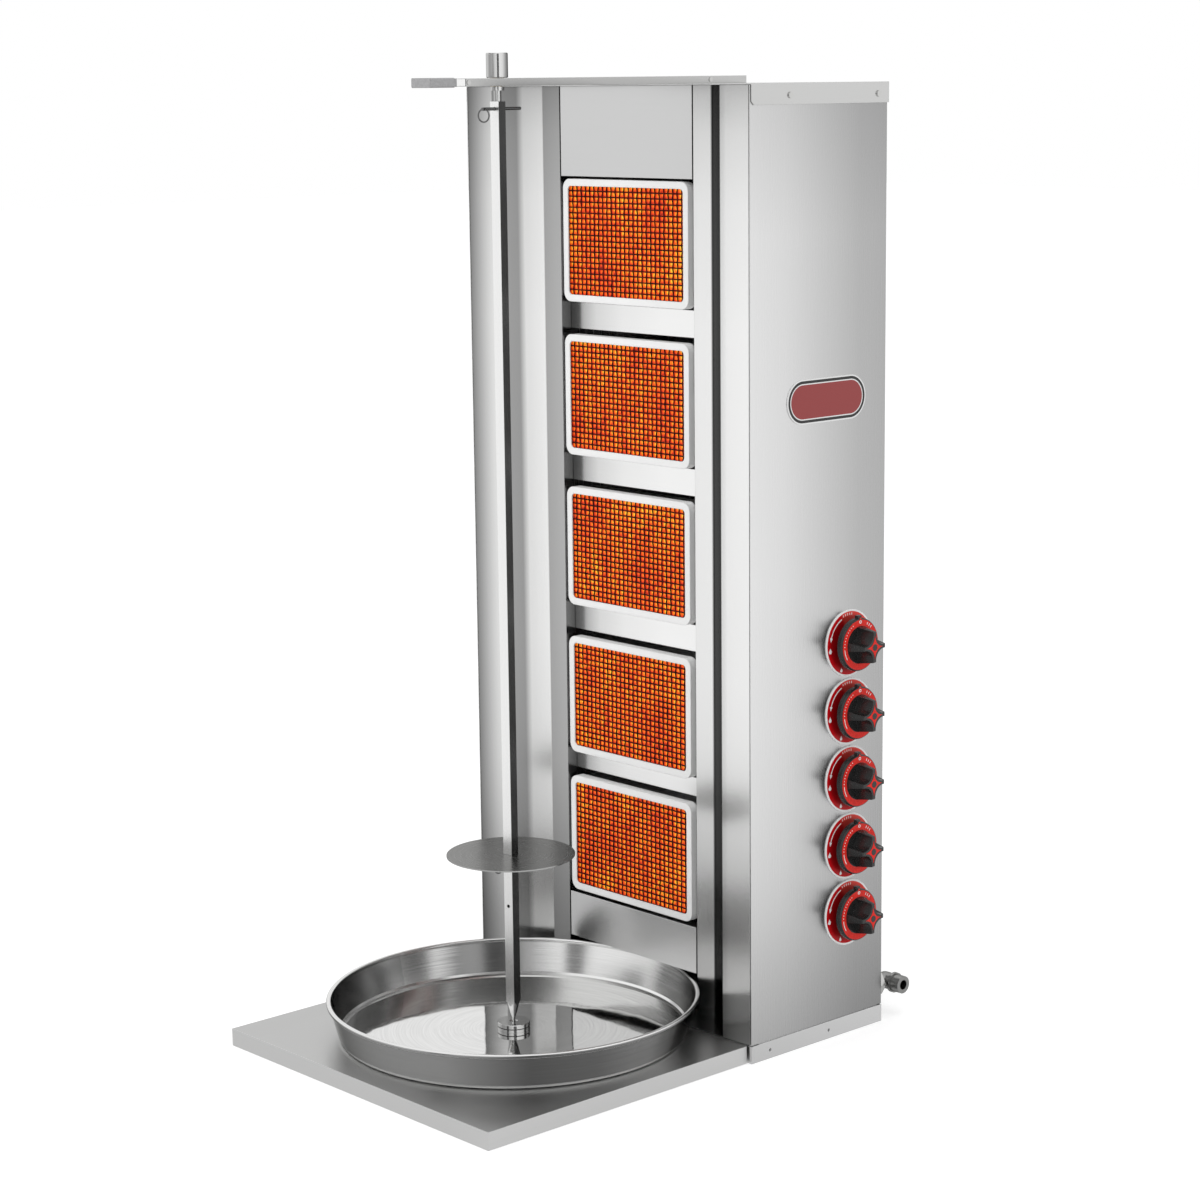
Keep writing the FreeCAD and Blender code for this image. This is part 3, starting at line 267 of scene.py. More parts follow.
upGrain, sideGrain = (900, 900, 7), (7, 900, 900)
panel, bright = steelLooks["panel"], steelLooks["bright"]
frontRoughness, frontBow = steelLooks["frontRoughness"], steelLooks["frontBow"]
fold, rim = steelLooks["fold"], steelLooks["rim"]
sideSteel = steel("sideSteel", upGrain, panel, 0.27, paintedLight=sidePaintedLight, edge=fold)
leftSteel = steel("leftSteel", upGrain, bright, frontRoughness, paintedLight=leftPaintedLight, edge=fold)
rightSteel = steel("rightSteel", upGrain, bright, frontRoughness, paintedLight=rightPaintedLight, edge=fold)
frontSteel = steel("frontSteel", sideGrain, steelLooks["front"], frontRoughness, bow=frontBow, edge=fold)
bottomSteel = steel("bottomSteel", sideGrain, steelLooks["bottom"], 0.24, bow=steelLooks["bottomBow"], edge=fold)
spacerSteel = steel("spacerSteel", sideGrain, bright, frontRoughness, paintedLight=spacerPaintedLight, bow=frontBow, edge=fold)
baseSteel = steel("baseSteel", (9, 900, 900), panel, 0.22, edge=fold)
traySteel = steel("traySteel", (900, 9, 900), steelLooks["tray"], 0.34, edge=fold, top=steelLooks["paintedTrayTopShade"])
coverSteel = steel("coverSteel", (900, 8, 900), steelLooks["cover"], 0.20, edge=fold)
armSteel = steel("armSteel", (900, 12, 900), steelLooks["arm"], 0.20, edge=0.0005)


# Small steel fittings

fittingLooks = {
    "pin": (0.16, 0.16, 0.16),
    "plated": (0.60, 0.60, 0.59),
    "grey": (0.34, 0.34, 0.335),
    "cast": (0.46, 0.46, 0.46),
}
plainSteel = steel("plainSteel", (300, 300, 300), bright, 0.10, edge=rim)
darkPin = steel("darkPin", (500, 500, 500), fittingLooks["pin"], 0.22, depth=0.000003)
platedSteel = steel("platedSteel", (500, 500, 500), fittingLooks["plated"], 0.18, depth=0.000003)
greyFitting = steel("greyFitting", (300, 300, 300), fittingLooks["grey"], 0.30, contrast=0.06, spread=0.1,
                    depth=0.00001)
castMetal = steel("castMetal", (250, 250, 250), fittingLooks["cast"], 0.45, contrast=0.08, spread=0.15,
                  depth=0.00006)


# Polished bars and rings: the spit, its shaft, the pivot knob and the bearing

roundLooks = {
    "color": (0.86, 0.86, 0.855),
    "ends": (0.8, 0.8, 0.8),
    # painted reflections, by the way a face looks round the Z axis
    "reflectionsByFacing": [(0.05, 0.70), (0.14, 0.42), (0.20, 0.80), (0.27, 0.34), (0.33, 0.46), (0.40, 0.95), (0.47, 0.80),
               (0.53, 0.36), (0.60, 0.22), (0.66, 0.50), (0.80, 0.85)],
}
spitLooks = {
    # painted reflections, by the way a face looks round the Z axis, dark to the right
    "reflectionsByFacing": [(0.05, 0.55), (0.16, 0.95), (0.36, 1.0), (0.42, 0.16), (0.62, 0.12), (0.7, 0.4)],
    "turn": 11.0,               # degrees that the square bar is turned
    "halfWide": 0.0058,         # just inside its faces
    "middle": 0.58,
    "halfLong": 0.49,           # just short of its ends
    "bore": (0.01, 0.01, 0.01),
}


def paintedBoreShade(tree, tint):
    # painted shade in the spit's cross holes: all that lies deeper than its faces, between its two ends, is painted
    # dark
    looks = spitLooks
    x, y, z = objectAxes(tree)
    y = calc(tree, "SUBTRACT", y, spitAxis.y)
    turn = math.radians(looks["turn"])
    across = []
    for a, b in ((math.cos(turn), math.sin(turn)), (-math.sin(turn), math.cos(turn))):
        side = calc(tree, "ADD", calc(tree, "MULTIPLY", x, a), calc(tree, "MULTIPLY", y, b))
        across.append(calc(tree, "ABSOLUTE", side))
    inside = calc(tree, "LESS_THAN", calc(tree, "MAXIMUM", *across), looks["halfWide"])
    along = calc(tree, "ABSOLUTE", calc(tree, "SUBTRACT", z, looks["middle"]))
    between = calc(tree, "LESS_THAN", along, looks["halfLong"])
    return mixed(tree, "MIX", calc(tree, "MULTIPLY", inside, between), tint, looks["bore"])


def facedSteel(name, color, roughness, reflectionsByFacing, bored=False):
    # painted reflections: a tone by the way that a face looks round the Z axis, 0 and 1 to the left, 0.25 to the
    # front, 0.5 to the right
    material, tree, shader = newMaterial(name, 1.0)
    lines = noise(tree, (500, 500, 500), 3.0)
    normal = faceAxes(tree)
    angle = calc(tree, "ARCTAN2", normal[1], normal[0])
    tint = ramp(tree, calc(tree, "MULTIPLY_ADD", angle, 1 / math.tau, 0.5), reflectionsByFacing)
    # the end faces take one painted tone instead
    ends = calc(tree, "GREATER_THAN", calc(tree, "ABSOLUTE", normal[2]), 0.9)
    tint = mixed(tree, "MIX", ends, tint, roundLooks["ends"])
    tint = mixed(tree, "MULTIPLY", 1.0, tint, color)
    if bored:
        tint = paintedBoreShade(tree, tint)
    paintMetal(tree, shader, tint)
    roughen(tree, shader, lines, roughness - 0.03, 0.06)
    bump(tree, shader, calc(tree, "MULTIPLY", lines, 0.000002), edge=rim)
    return material


roundSteel = facedSteel("roundSteel", roundLooks["color"], 0.14, roundLooks["reflectionsByFacing"])
spitSteel = facedSteel("spitSteel", bright, 0.26, spitLooks["reflectionsByFacing"], bored=True)


# Turned sheets: the pan and the meat plate

pressedLooks = {
    "pan": (0.86, 0.86, 0.855),
    "plate": (0.46, 0.46, 0.455),
    "around": 1.6,              # how densely the lines change round the axis,
    "outwards": 600,            # away from it
    "upwards": 800,             # and up the wall
    "streak": 0.10,
    "levelFrom": 0.97,          # a face this flat is the floor,
    "calm": 0.85,               # where the lines are shallower
    "ragged": 0.03,             # how far the patches' edges run in and out
    "waveScale": (22, 22, 22),
    "wave": 0.00025,
    # painted reflections: light and dark patches round the pan's wall, 0 and 1 to the left, 0.25 to the front, 0.5
    # to the right
    "panOutsideReflections": [(0.0, 0.80), (0.14, 0.80), (0.17, 0.78), (0.20, 0.48), (0.33, 0.45), (0.40, 0.17),
                   (0.46, 0.22), (0.56, 0.55), (0.66, 0.50), (1.0, 0.80)],
    "panInsideReflections": [(0.0, 0.85), (0.03, 0.35), (0.11, 0.45), (0.2, 0.80), (0.55, 0.80), (0.63, 0.32),
                  (0.69, 0.48), (0.73, 0.90), (0.84, 1.0), (0.87, 0.50), (0.94, 0.32), (0.97, 1.0)],
}


def pressedSteel(name, color, roughness, floorRoughness, depth=0.000008, outside=(), inside=()):
    # brushing that runs round the spit's axis, as on a turned dish
    looks = pressedLooks
    material, tree, shader = newMaterial(name, 1.0)
    x, y, z = objectAxes(tree)
    y = calc(tree, "SUBTRACT", y, spitAxis.y)
    angle = calc(tree, "ARCTAN2", y, x)
    outwards = calc(tree, "MULTIPLY", hypotenuse(tree, x, y), looks["outwards"])
    around = addNode(tree, "ShaderNodeCombineXYZ",
                     X=calc(tree, "MULTIPLY", calc(tree, "COSINE", angle), looks["around"]),
                     Y=calc(tree, "MULTIPLY", calc(tree, "SINE", angle), looks["around"]),
                     Z=calc(tree, "ADD", outwards, calc(tree, "MULTIPLY", z, looks["upwards"])))
    lines = noise(tree, around.outputs[0], 4.0, 0.65)
    tint = ramp(tree, lines, [(0.32, tuple(c * (1 - looks["streak"]) for c in color)), (0.68, color)])
    normal = faceAxes(tree)
    # painted reflections: light and dark patches round the wall, outside and inside
    if outside:
        turn = calc(tree, "MULTIPLY_ADD", angle, 1 / math.tau, 0.5)
        turn = calc(tree, "MULTIPLY_ADD", lines, looks["ragged"], calc(tree, "SUBTRACT", turn, looks["ragged"] / 2))
        outward = calc(tree, "ADD", calc(tree, "MULTIPLY", normal[0], x), calc(tree, "MULTIPLY", normal[1], y))
        patches = mixed(tree, "MIX", calc(tree, "GREATER_THAN", outward, 0.0),
                        ramp(tree, turn, inside), ramp(tree, turn, outside))
        wall = calc(tree, "LESS_THAN", calc(tree, "ABSOLUTE", normal[2]), 0.5)
        tint = mixed(tree, "MIX", wall, tint, mixed(tree, "MULTIPLY", 1.0, tint, patches))
    paintMetal(tree, shader, tint)
    floor = calc(tree, "GREATER_THAN", normal[2], looks["levelFrom"])
    low = calc(tree, "MULTIPLY_ADD", floor, floorRoughness - roughness, roughness - 0.05)
    roughen(tree, shader, lines, low, 0.10)
    calm = calc(tree, "SUBTRACT", 1.0, calc(tree, "MULTIPLY", floor, looks["calm"]))
    wave = calc(tree, "MULTIPLY", noise(tree, looks["waveScale"], 1.0), looks["wave"])
    bump(tree, shader, calc(tree, "MULTIPLY_ADD", calc(tree, "MULTIPLY", lines, calm), depth, wave))
    return material


panSteel = pressedSteel("panSteel", pressedLooks["pan"], 0.20, 0.05,
                        outside=pressedLooks["panOutsideReflections"], inside=pressedLooks["panInsideReflections"])
plateSteel = pressedSteel("plateSteel", pressedLooks["plate"], 0.26, 0.26, depth=0.000006)
print("steels ready")


# Brass, plastic and enamel

finishLooks = {
    "brass": (0.72, 0.52, 0.20),
    "copper": (0.70, 0.38, 0.24),
    "enamel": (0.94, 0.94, 0.935),
    "enamelShade": (0.90, 0.90, 0.895),
    "enamelEdge": 0.0016,
    "black": (0.018, 0.018, 0.018),
    "grey": (0.36, 0.36, 0.365),
    "red": (0.74, 0.030, 0.022),
    "white": (0.92, 0.92, 0.92),
}


def brassFinish(name, color):
    material, tree, shader = newMaterial(name, 1.0)
    stain = noise(tree, (90, 90, 90), 4.0)
    join(tree, ramp(tree, stain, [(0.3, tuple(c * 0.7 for c in color)), (0.7, color)]), shader.inputs["Base Color"])
    roughen(tree, shader, stain, 0.22, 0.2)
    return material


def mouldedPlastic(name, color, roughness, grit, edge=0.0, shine=0.5):
    material, tree, shader = newMaterial(name)
    shader.inputs["Specular IOR Level"].default_value = shine
    fine = noise(tree, (grit, grit, grit), 3.0)
    shades = [(0.35, tuple(c * 0.85 for c in color)), (0.65, tuple(c * 1.12 for c in color))]
    join(tree, ramp(tree, fine, shades), shader.inputs["Base Color"])
    roughen(tree, shader, fine, roughness - 0.06, 0.12)
    bump(tree, shader, calc(tree, "MULTIPLY", fine, 0.00002), edge=edge)
    return material


def enamelFinish(name):
    material, tree, shader = newMaterial(name)
    cloudy = noise(tree, (40, 40, 40), 4.0)
    shades = [(0.3, finishLooks["enamelShade"]), (0.7, finishLooks["enamel"])]
    join(tree, ramp(tree, cloudy, shades), shader.inputs["Base Color"])
    roughen(tree, shader, cloudy, 0.26, 0.12)
    bump(tree, shader, noise(tree, (260, 260, 260), 2.0), 0.00006, edge=finishLooks["enamelEdge"])
    return material


brassMetal = brassFinish("brassMetal", finishLooks["brass"])
copperMetal = brassFinish("copperMetal", finishLooks["copper"])
whiteEnamel = enamelFinish("whiteEnamel")
blackKnobPlastic = mouldedPlastic("blackKnobPlastic", finishLooks["black"], 0.26, 700, edge=0.0006)
greyHandlePlastic = mouldedPlastic("greyHandlePlastic", finishLooks["grey"], 0.42, 900, edge=0.0012)
redInlay = mouldedPlastic("redInlay", finishLooks["red"], 0.45, 500, shine=0.15)
whiteMark = mouldedPlastic("whiteMark", finishLooks["white"], 0.45, 500)


# Glowing tiles behind wire grids: a tile is hottest behind the openings of its grid

gridLooks = {
    "width": 0.1980,
    "height": 0.1280,
    "columns": 27,
    "rows": 20,
    "wire": 0.00088,            # radius
    "weave": 0.00066,           # how far a wire swings to each side
    "sides": 6,
    "back": 0.0002,             # behind the middle of the screens
    "dark": (0.020, 0.002, 0.002),
    "warm": (0.075, 0.006, 0.004),
    "hot": (0.20, 0.010, 0.003),
    "glow": 0.35,
}
tileLooks = {
    "glow": 0.50,
    "deep": (0.16, 0.006, 0.003),
    "red": (0.68, 0.035, 0.004),
    "orange": (0.97, 0.15, 0.006),
    "yellow": (1.0, 0.58, 0.03),
    "uneven": 0.35,             # how far the hot spots stand off the middle of their cells
    "spotShare": 0.40,          # how much of the heat goes by the hot spot,
    "cellShare": 0.16,          # by the cell
    "patchShare": 0.36,         # and by the streaks and patches across the tile
    "streaks": (60, 1, 6),
    "patches": (14, 1, 14),
    "depth": 0.0004,
}


def glowingTile(number):
    material, tree, shader = newMaterial("ceramicGlow_%d" % number)
    looks, grid = tileLooks, gridLooks
    low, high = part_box("burner_frame_%d" % number)
    x, y, z = objectAxes(tree)
    up = calc(tree, "SUBTRACT", z, (low.z + high.z) / 2)
    row = calc(tree, "DIVIDE", up, grid["height"] / grid["rows"])
    cell = addNode(tree, "ShaderNodeCombineXYZ", X=calc(tree, "DIVIDE", x, grid["width"] / grid["columns"]),
                   Y=calc(tree, "ADD", row, 0.5))
    cells = addNode(tree, "ShaderNodeTexVoronoi", voronoi_dimensions="2D", feature="F1", Vector=cell.outputs[0],
                    Scale=1.0, Randomness=looks["uneven"])
    spots = calc(tree, "SUBTRACT", 1.0, calc(tree, "MULTIPLY", cells.outputs["Distance"], 1.3), clamp=True)
    own = tree.nodes.new("ShaderNodeSeparateColor")
    join(tree, cells.outputs["Color"], own.inputs[0])
    patches = calc(tree, "ADD", noise(tree, looks["streaks"], 2.0, 0.6), noise(tree, looks["patches"], 2.0))
    heat = calc(tree, "ADD", calc(tree, "MULTIPLY", spots, looks["spotShare"]),
                calc(tree, "MULTIPLY", own.outputs[0], looks["cellShare"]))
    heat = calc(tree, "ADD", heat, calc(tree, "MULTIPLY", patches, looks["patchShare"]))
    color = ramp(tree, heat, [(0.34, looks["deep"]), (0.52, looks["red"]), (0.69, looks["orange"]),
                              (0.90, looks["yellow"])])
    join(tree, color, shader.inputs["Base Color"])
    join(tree, color, shader.inputs["Emission Color"])
    shader.inputs["Emission Strength"].default_value = looks["glow"]
    shader.inputs["Roughness"].default_value = 0.8
    bump(tree, shader, spots, looks["depth"])
    return material


def hotWire():
    looks = gridLooks
    material, tree, shader = newMaterial("hotWire")
    patch = noise(tree, (70, 1, 30), 3.0)
    join(tree, ramp(tree, patch, [(0.35, looks["dark"]), (0.75, looks["warm"])]), shader.inputs["Base Color"])
    join(tree, ramp(tree, patch, [(0.45, 0.0), (0.8, looks["hot"])]), shader.inputs["Emission Color"])
    shader.inputs["Emission Strength"].default_value = looks["glow"]
    shader.inputs["Roughness"].default_value = 0.7
    shader.inputs["Specular IOR Level"].default_value = 0.15
    return material


gridWire = hotWire()
print("finishes ready")


# Printed plates: their colours go by the distance from the middle

badgeLooks = {
    "halfStraight": 0.03875,
    "radius": 0.025,
    "lineFrom": 0.76,           # shares of the radius: a white line round the field,
    "bandFrom": 0.81,           # a black band
    "rimFrom": 0.935,           # and a white rim
    "red": (0.29, 0.035, 0.035),
    "black": (0.012, 0.012, 0.012),
    "white": (0.80, 0.80, 0.80),
}
dialLooks = {
    "axisY": 0.160,
    "lowestZ": 0.1467,
    "pitch": 0.0801,
    "radius": 0.039,
    "rimFrom": 0.945,
    "highlightSide": 0.9,          # radians from the back to the top
    "red": (0.56, 0.004, 0.008),
    # the colour of the painted highlight
    "bright": (0.78, 0.06, 0.045),
    "white": (0.94, 0.94, 0.94),
}


def grittyPrint(tree, shader, color, roughness):
    join(tree, color, shader.inputs["Base Color"])
    grit = noise(tree, (800, 800, 800), 2.0)
    roughen(tree, shader, grit, roughness, 0.1)
    bump(tree, shader, grit, 0.00002)


def badgePrint():
    looks = badgeLooks
    middle = (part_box("badge_plate")[0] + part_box("badge_plate")[1]) / 2
    material, tree, shader = newMaterial("badgePrint")
    x, y, z = objectAxes(tree)
    along = calc(tree, "ABSOLUTE", calc(tree, "SUBTRACT", y, middle.y))
    past = calc(tree, "MAXIMUM", calc(tree, "SUBTRACT", along, looks["halfStraight"]), 0.0)
    away = hypotenuse(tree, past, calc(tree, "SUBTRACT", z, middle.z))
    rings = [(0.0, looks["red"]), (looks["lineFrom"], looks["white"]), (looks["bandFrom"], looks["black"]),
             (looks["rimFrom"], looks["white"])]
    color = ramp(tree, calc(tree, "DIVIDE", away, looks["radius"]), rings, "CONSTANT")
    grittyPrint(tree, shader, color, 0.28)
    return material


def dialPrint():
    looks = dialLooks
    material, tree, shader = newMaterial("dialPrint")
    shader.inputs["Specular IOR Level"].default_value = 0.15
    x, y, z = objectAxes(tree)
    across = calc(tree, "SUBTRACT", y, looks["axisY"])
    step = calc(tree, "DIVIDE", calc(tree, "SUBTRACT", z, looks["lowestZ"]), looks["pitch"])
    up = calc(tree, "MULTIPLY", calc(tree, "SUBTRACT", step, calc(tree, "ROUND", step)), looks["pitch"])
    share = calc(tree, "DIVIDE", hypotenuse(tree, across, up), looks["radius"])
    # a painted highlight lies at the top and back, and a painted shade round the knob
    field = calc(tree, "COSINE", calc(tree, "SUBTRACT", calc(tree, "ARCTAN2", up, across), looks["highlightSide"]))
    tone = ramp(tree, calc(tree, "MULTIPLY_ADD", field, 0.5, 0.5),
                [(0.0, looks["red"]), (0.72, looks["red"]), (0.80, looks["bright"])])
    shaded = mixed(tree, "MULTIPLY", 1.0, tone, ramp(tree, share, [(0.78, 0.55), (0.9, 1.0)]))
    whole = mixed(tree, "MIX", calc(tree, "GREATER_THAN", share, looks["rimFrom"]), shaded, looks["white"])
    grittyPrint(tree, shader, whole, 0.26)
    return material


badgeFinish = badgePrint()
dialFinish = dialPrint()


# Finishes on the frame's own pieces

finishes = {
    "tower_base": baseSteel, "tray_panel": traySteel, "tray_bolts": platedSteel,
    "right_side_panel": sideSteel, "left_side_panel": sideSteel, "back_panel": sideSteel,
    "top_cover": coverSteel, "case_screws": platedSteel,
    "right_wing": rightSteel, "left_wing": leftSteel, "top_front_panel": frontSteel,
    "bottom_front_panel": bottomSteel, "spacer_strips": spacerSteel,
    "burner_screens": gridWire, "burner_housings": castMetal, "mixer_tubes": castMetal, "injectors": brassMetal,
    "gas_manifold": platedSteel, "gas_valves": brassMetal, "burner_pipes": copperMetal, "dial_plates": dialFinish,
    "inlet_pipe": platedSteel, "inlet_nut": platedSteel, "inlet_elbow": greyFitting, "badge_plate": badgeFinish,
    "arm_channel": armSteel, "arm_screws": platedSteel, "arm_slider": plainSteel, "arm_handle": greyHandlePlastic,
    "pivot_bush": brassMetal, "spit": spitSteel, "pivot_shaft": roundSteel, "pivot_knob": roundSteel,
    "meat_plate": plateSteel, "spit_pin": darkPin, "plate_pin": darkPin, "pan": panSteel,
    "bearing_race": roundSteel, "bearing_cup": roundSteel, "bearing_balls": plainSteel,
}
for number in range(1, 6):
    finishes["burner_frame_%d" % number] = whiteEnamel
    finishes["burner_tile_%d" % number] = glowingTile(number)
    finishes["valve_stem_%d" % number] = brassMetal
    finishes["knob_%d" % number] = blackKnobPlastic
for name, node in nodes.items():
    if "tile" in name:
        node.visible_glossy = False     # no orange in the steel
    if not node.material_slots:
        node.data.materials.append(finishes[name])
    for materialSlot in node.material_slots:
        materialSlot.material = finishes[name]
print("frame pieces finished:", len(nodes))


# Geometry Nodes helpers

def newTree(name, inputs):
    tree = bpy.data.node_groups.new(name, "GeometryNodeTree")
    tree.is_modifier = True
    for label, kind, value in inputs:
        socket = tree.interface.new_socket(label, in_out="INPUT", socket_type=kind)
        if value is not None:
            socket.default_value = value
    tree.interface.new_socket("Geometry", in_out="OUTPUT", socket_type="NodeSocketGeometry")
    return tree, tree.nodes.new("NodeGroupInput").outputs, tree.nodes.new("NodeGroupOutput")


def finishTree(tree, end, geometry, material):
    real = addNode(tree, "GeometryNodeRealizeInstances", Geometry=geometry)
    painted = addNode(tree, "GeometryNodeSetMaterial", Geometry=real.outputs[0], Material=material)
    join(tree, painted.outputs[0], end.inputs[0])


def grow(name, tree, values, body):
    # runs a tree on an empty mesh and keeps the result as a plain mesh
    seed = bpy.data.objects.new(name + "Seed", bpy.data.meshes.new(name + "Seed"))
    scene.collection.objects.link(seed)
    modifier = seed.modifiers.new(name, "NODES")
    modifier.node_group = tree
    ids = {item.name: item.identifier for item in tree.interface.items_tree if item.in_out == "INPUT"}
    for label, value in values.items():
        modifier[ids[label]] = value
    bpy.context.view_layer.update()
    mesh = bpy.data.meshes.new_from_object(seed.evaluated_get(bpy.context.evaluated_depsgraph_get()))
    mesh.name = name
    bpy.data.objects.remove(seed)
    piece = bpy.data.objects.new(name, mesh)
    scene.collection.objects.link(piece)
    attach(piece, body)
    return piece


# Woven wire grids in the burner frames

def wireGridTree(material):
    # rods stand in a row, each bent a little over and under, and a second row lies across them
    tree, get, end = newTree("wireGrid", [
        ("Width", "NodeSocketFloat", 0.2), ("Height", "NodeSocketFloat", 0.13), ("Columns", "NodeSocketInt", 24),
        ("Rows", "NodeSocketInt", 20), ("Wire", "NodeSocketFloat", 0.0006), ("Weave", "NodeSocketFloat", 0.0005),
        ("Middle", "NodeSocketVector", None)])

    def family(upright):
        count, crossings = (get["Columns"], get["Rows"]) if upright else (get["Rows"], get["Columns"])
        length, spread = (get["Height"], get["Width"]) if upright else (get["Width"], get["Height"])
        along, across = ("Z", "X") if upright else ("X", "Z")
        points = calc(tree, "ADD", calc(tree, "MULTIPLY", crossings, 2), 1)
        half = calc(tree, "MULTIPLY", length, 0.5)
        low = addNode(tree, "ShaderNodeCombineXYZ", **{along: calc(tree, "MULTIPLY", half, -1)})
        high = addNode(tree, "ShaderNodeCombineXYZ", **{along: half})
        line = addNode(tree, "GeometryNodeCurvePrimitiveLine", Start=low.outputs[0], End=high.outputs[0])
        fineLine = addNode(tree, "GeometryNodeResampleCurve", Curve=line.outputs[0], Count=points)
        step = addNode(tree, "ShaderNodeCombineXYZ", **{across: calc(tree, "DIVIDE", spread, count)})
        first = addNode(tree, "ShaderNodeCombineXYZ", **{across: calc(tree, "MULTIPLY", spread, -0.5)})
        row = addNode(tree, "GeometryNodeMeshLine", Count=calc(tree, "ADD", count, 1), Offset=step.outputs[0],
                      Start_Location=first.outputs[0])
        standing = addNode(tree, "GeometryNodeInstanceOnPoints", Points=row.outputs[0], Instance=fineLine.outputs[0])
        real = addNode(tree, "GeometryNodeRealizeInstances", Geometry=standing.outputs[0])
        # over and under: every second point of a wire, and every second wire, goes to the other side
        number = tree.nodes.new("GeometryNodeInputIndex").outputs[0]
        wire = calc(tree, "FLOOR", calc(tree, "DIVIDE", number, points))
        place = calc(tree, "SUBTRACT", number, calc(tree, "MULTIPLY", wire, points))
        phase = calc(tree, "ADD", calc(tree, "MULTIPLY", place, math.pi / 2), calc(tree, "MULTIPLY", wire, math.pi))
        side = calc(tree, "MULTIPLY", calc(tree, "COSINE", phase), get["Weave"])
        if upright:
            side = calc(tree, "MULTIPLY", side, -1)
        shift = addNode(tree, "ShaderNodeCombineXYZ", Y=side)
        bent = addNode(tree, "GeometryNodeSetPosition", Geometry=real.outputs[0], Offset=shift.outputs[0])
        ring = addNode(tree, "GeometryNodeCurvePrimitiveCircle", Resolution=gridLooks["sides"], Radius=get["Wire"])
        return addNode(tree, "GeometryNodeCurveToMesh", Curve=bent.outputs[0], Profile_Curve=ring.outputs[0])

    both = tree.nodes.new("GeometryNodeJoinGeometry")
    for upright in (True, False):
        join(tree, family(upright).outputs[0], both.inputs[0])
    moved = addNode(tree, "GeometryNodeTransform", Geometry=both.outputs[0], Translation=get["Middle"])
    finishTree(tree, end, moved.outputs[0], material)
    return tree


gridTree = wireGridTree(gridWire)
screenLow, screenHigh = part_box("burner_screens")
for number in range(1, 6):
    low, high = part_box("burner_frame_%d" % number)
    middle = Vector(((low.x + high.x) / 2, (screenLow.y + screenHigh.y) / 2 + gridLooks["back"],
                     (low.z + high.z) / 2))
    piece = grow("wireGrid_%d" % number, gridTree, {
        "Width": gridLooks["width"], "Height": gridLooks["height"], "Columns": gridLooks["columns"],
        "Rows": gridLooks["rows"], "Wire": gridLooks["wire"], "Weave": gridLooks["weave"], "Middle": middle},
        "tower")
    piece.visible_glossy = False
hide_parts("burner_screens")


# Flat prints: points in the YZ plane, seen from the right side, where 0 degrees is to the back and 90 is up

def polar(radius, degrees):
    return Vector((radius * math.cos(math.radians(degrees)), radius * math.sin(math.radians(degrees))))


def arc(radius, begin, stop, steps=24):
    return [polar(radius, begin + (stop - begin) * i / steps) for i in range(steps + 1)]


def circle(radius, steps):
    return [polar(radius, 360 * i / steps) for i in range(steps)]


def strip(bm, points, width, thick, x, closed=False):
    # a line of this width along the points
    count = len(points)
    rows = []
    for i, point in enumerate(points):
        before = points[(i - 1) % count] if closed or i else points[i]
        after = points[(i + 1) % count] if closed or i < count - 1 else points[i]
        direction = (after - before).normalized()
        side = Vector((-direction.y, direction.x)) * width / 2
        rows.append([bm.verts.new((x + dx, p.x, p.y)) for p in (point - side, point + side) for dx in (0, thick)])
    links = list(zip(rows, rows[1:])) + ([(rows[-1], rows[0])] if closed else [])
    for a, b in links:
        for i, j in ((0, 1), (1, 3), (3, 2), (2, 0)):
            bm.faces.new((a[i], a[j], b[j], b[i]))
    if not closed:
        for row in (rows[0], rows[-1]):
            bm.faces.new((row[0], row[1], row[3], row[2]))


def ticks(bm, angles, span, width, thick, x):
    for degrees in angles:
        strip(bm, [polar(radius, degrees) for radius in span], width, thick, x)


def slab(bm, points, thick, x):
    # a filled shape with the points as its outline
    front = [bm.verts.new((x + thick, p[0], p[1])) for p in points]
    rear = [bm.verts.new((x, p[0], p[1])) for p in points]
    bm.faces.new(front)
    bm.faces.new(list(reversed(rear)))
    for i in range(len(points)):
        j = (i + 1) % len(points)
        bm.faces.new((rear[i], rear[j], front[j], front[i]))


dialMarks = {
    "line": 0.0013,
    "thick": 0.00012,
    "arcRadius": 0.0316,
    "arcBegin": 114.0,
    "arcEnd": 163.0,
    "arrowHalf": 0.0022,
    "arrowDegrees": 9,
    "flames": [(0.0325, 190, 0.0066), (0.0330, 246, 0.00528)],     # radius, degrees, height
    "flameShape": [(0, -0.5), (0.26, -0.42), (0.36, -0.16), (0.26, 0.10), (0.10, 0.26), (0.06, 0.52),
                   (-0.10, 0.30), (-0.24, 0.08), (-0.36, -0.14), (-0.28, -0.40)],
    "tickAngles": (84, 90, 96, 102, 108),
    "tickSpan": (0.0325, 0.0352),
    "tickLine": 0.0009,
}


def dialMarkMesh(bm):
    looks = dialMarks
    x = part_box("dial_plates")[1].x
    radius, end, half = looks["arcRadius"], looks["arcEnd"], looks["arrowHalf"]
    strip(bm, arc(radius, looks["arcBegin"], end), looks["line"], looks["thick"], x)
    arrow = polar(radius - half, end), polar(radius + half, end), polar(radius, end + looks["arrowDegrees"])
    slab(bm, arrow, looks["thick"], x)
    for away, degrees, tall in looks["flames"]:
        centre = polar(away, degrees)
        slab(bm, [centre + Vector(point) * tall for point in looks["flameShape"]], looks["thick"], x)
    ticks(bm, looks["tickAngles"], looks["tickSpan"], looks["tickLine"], looks["thick"], x)


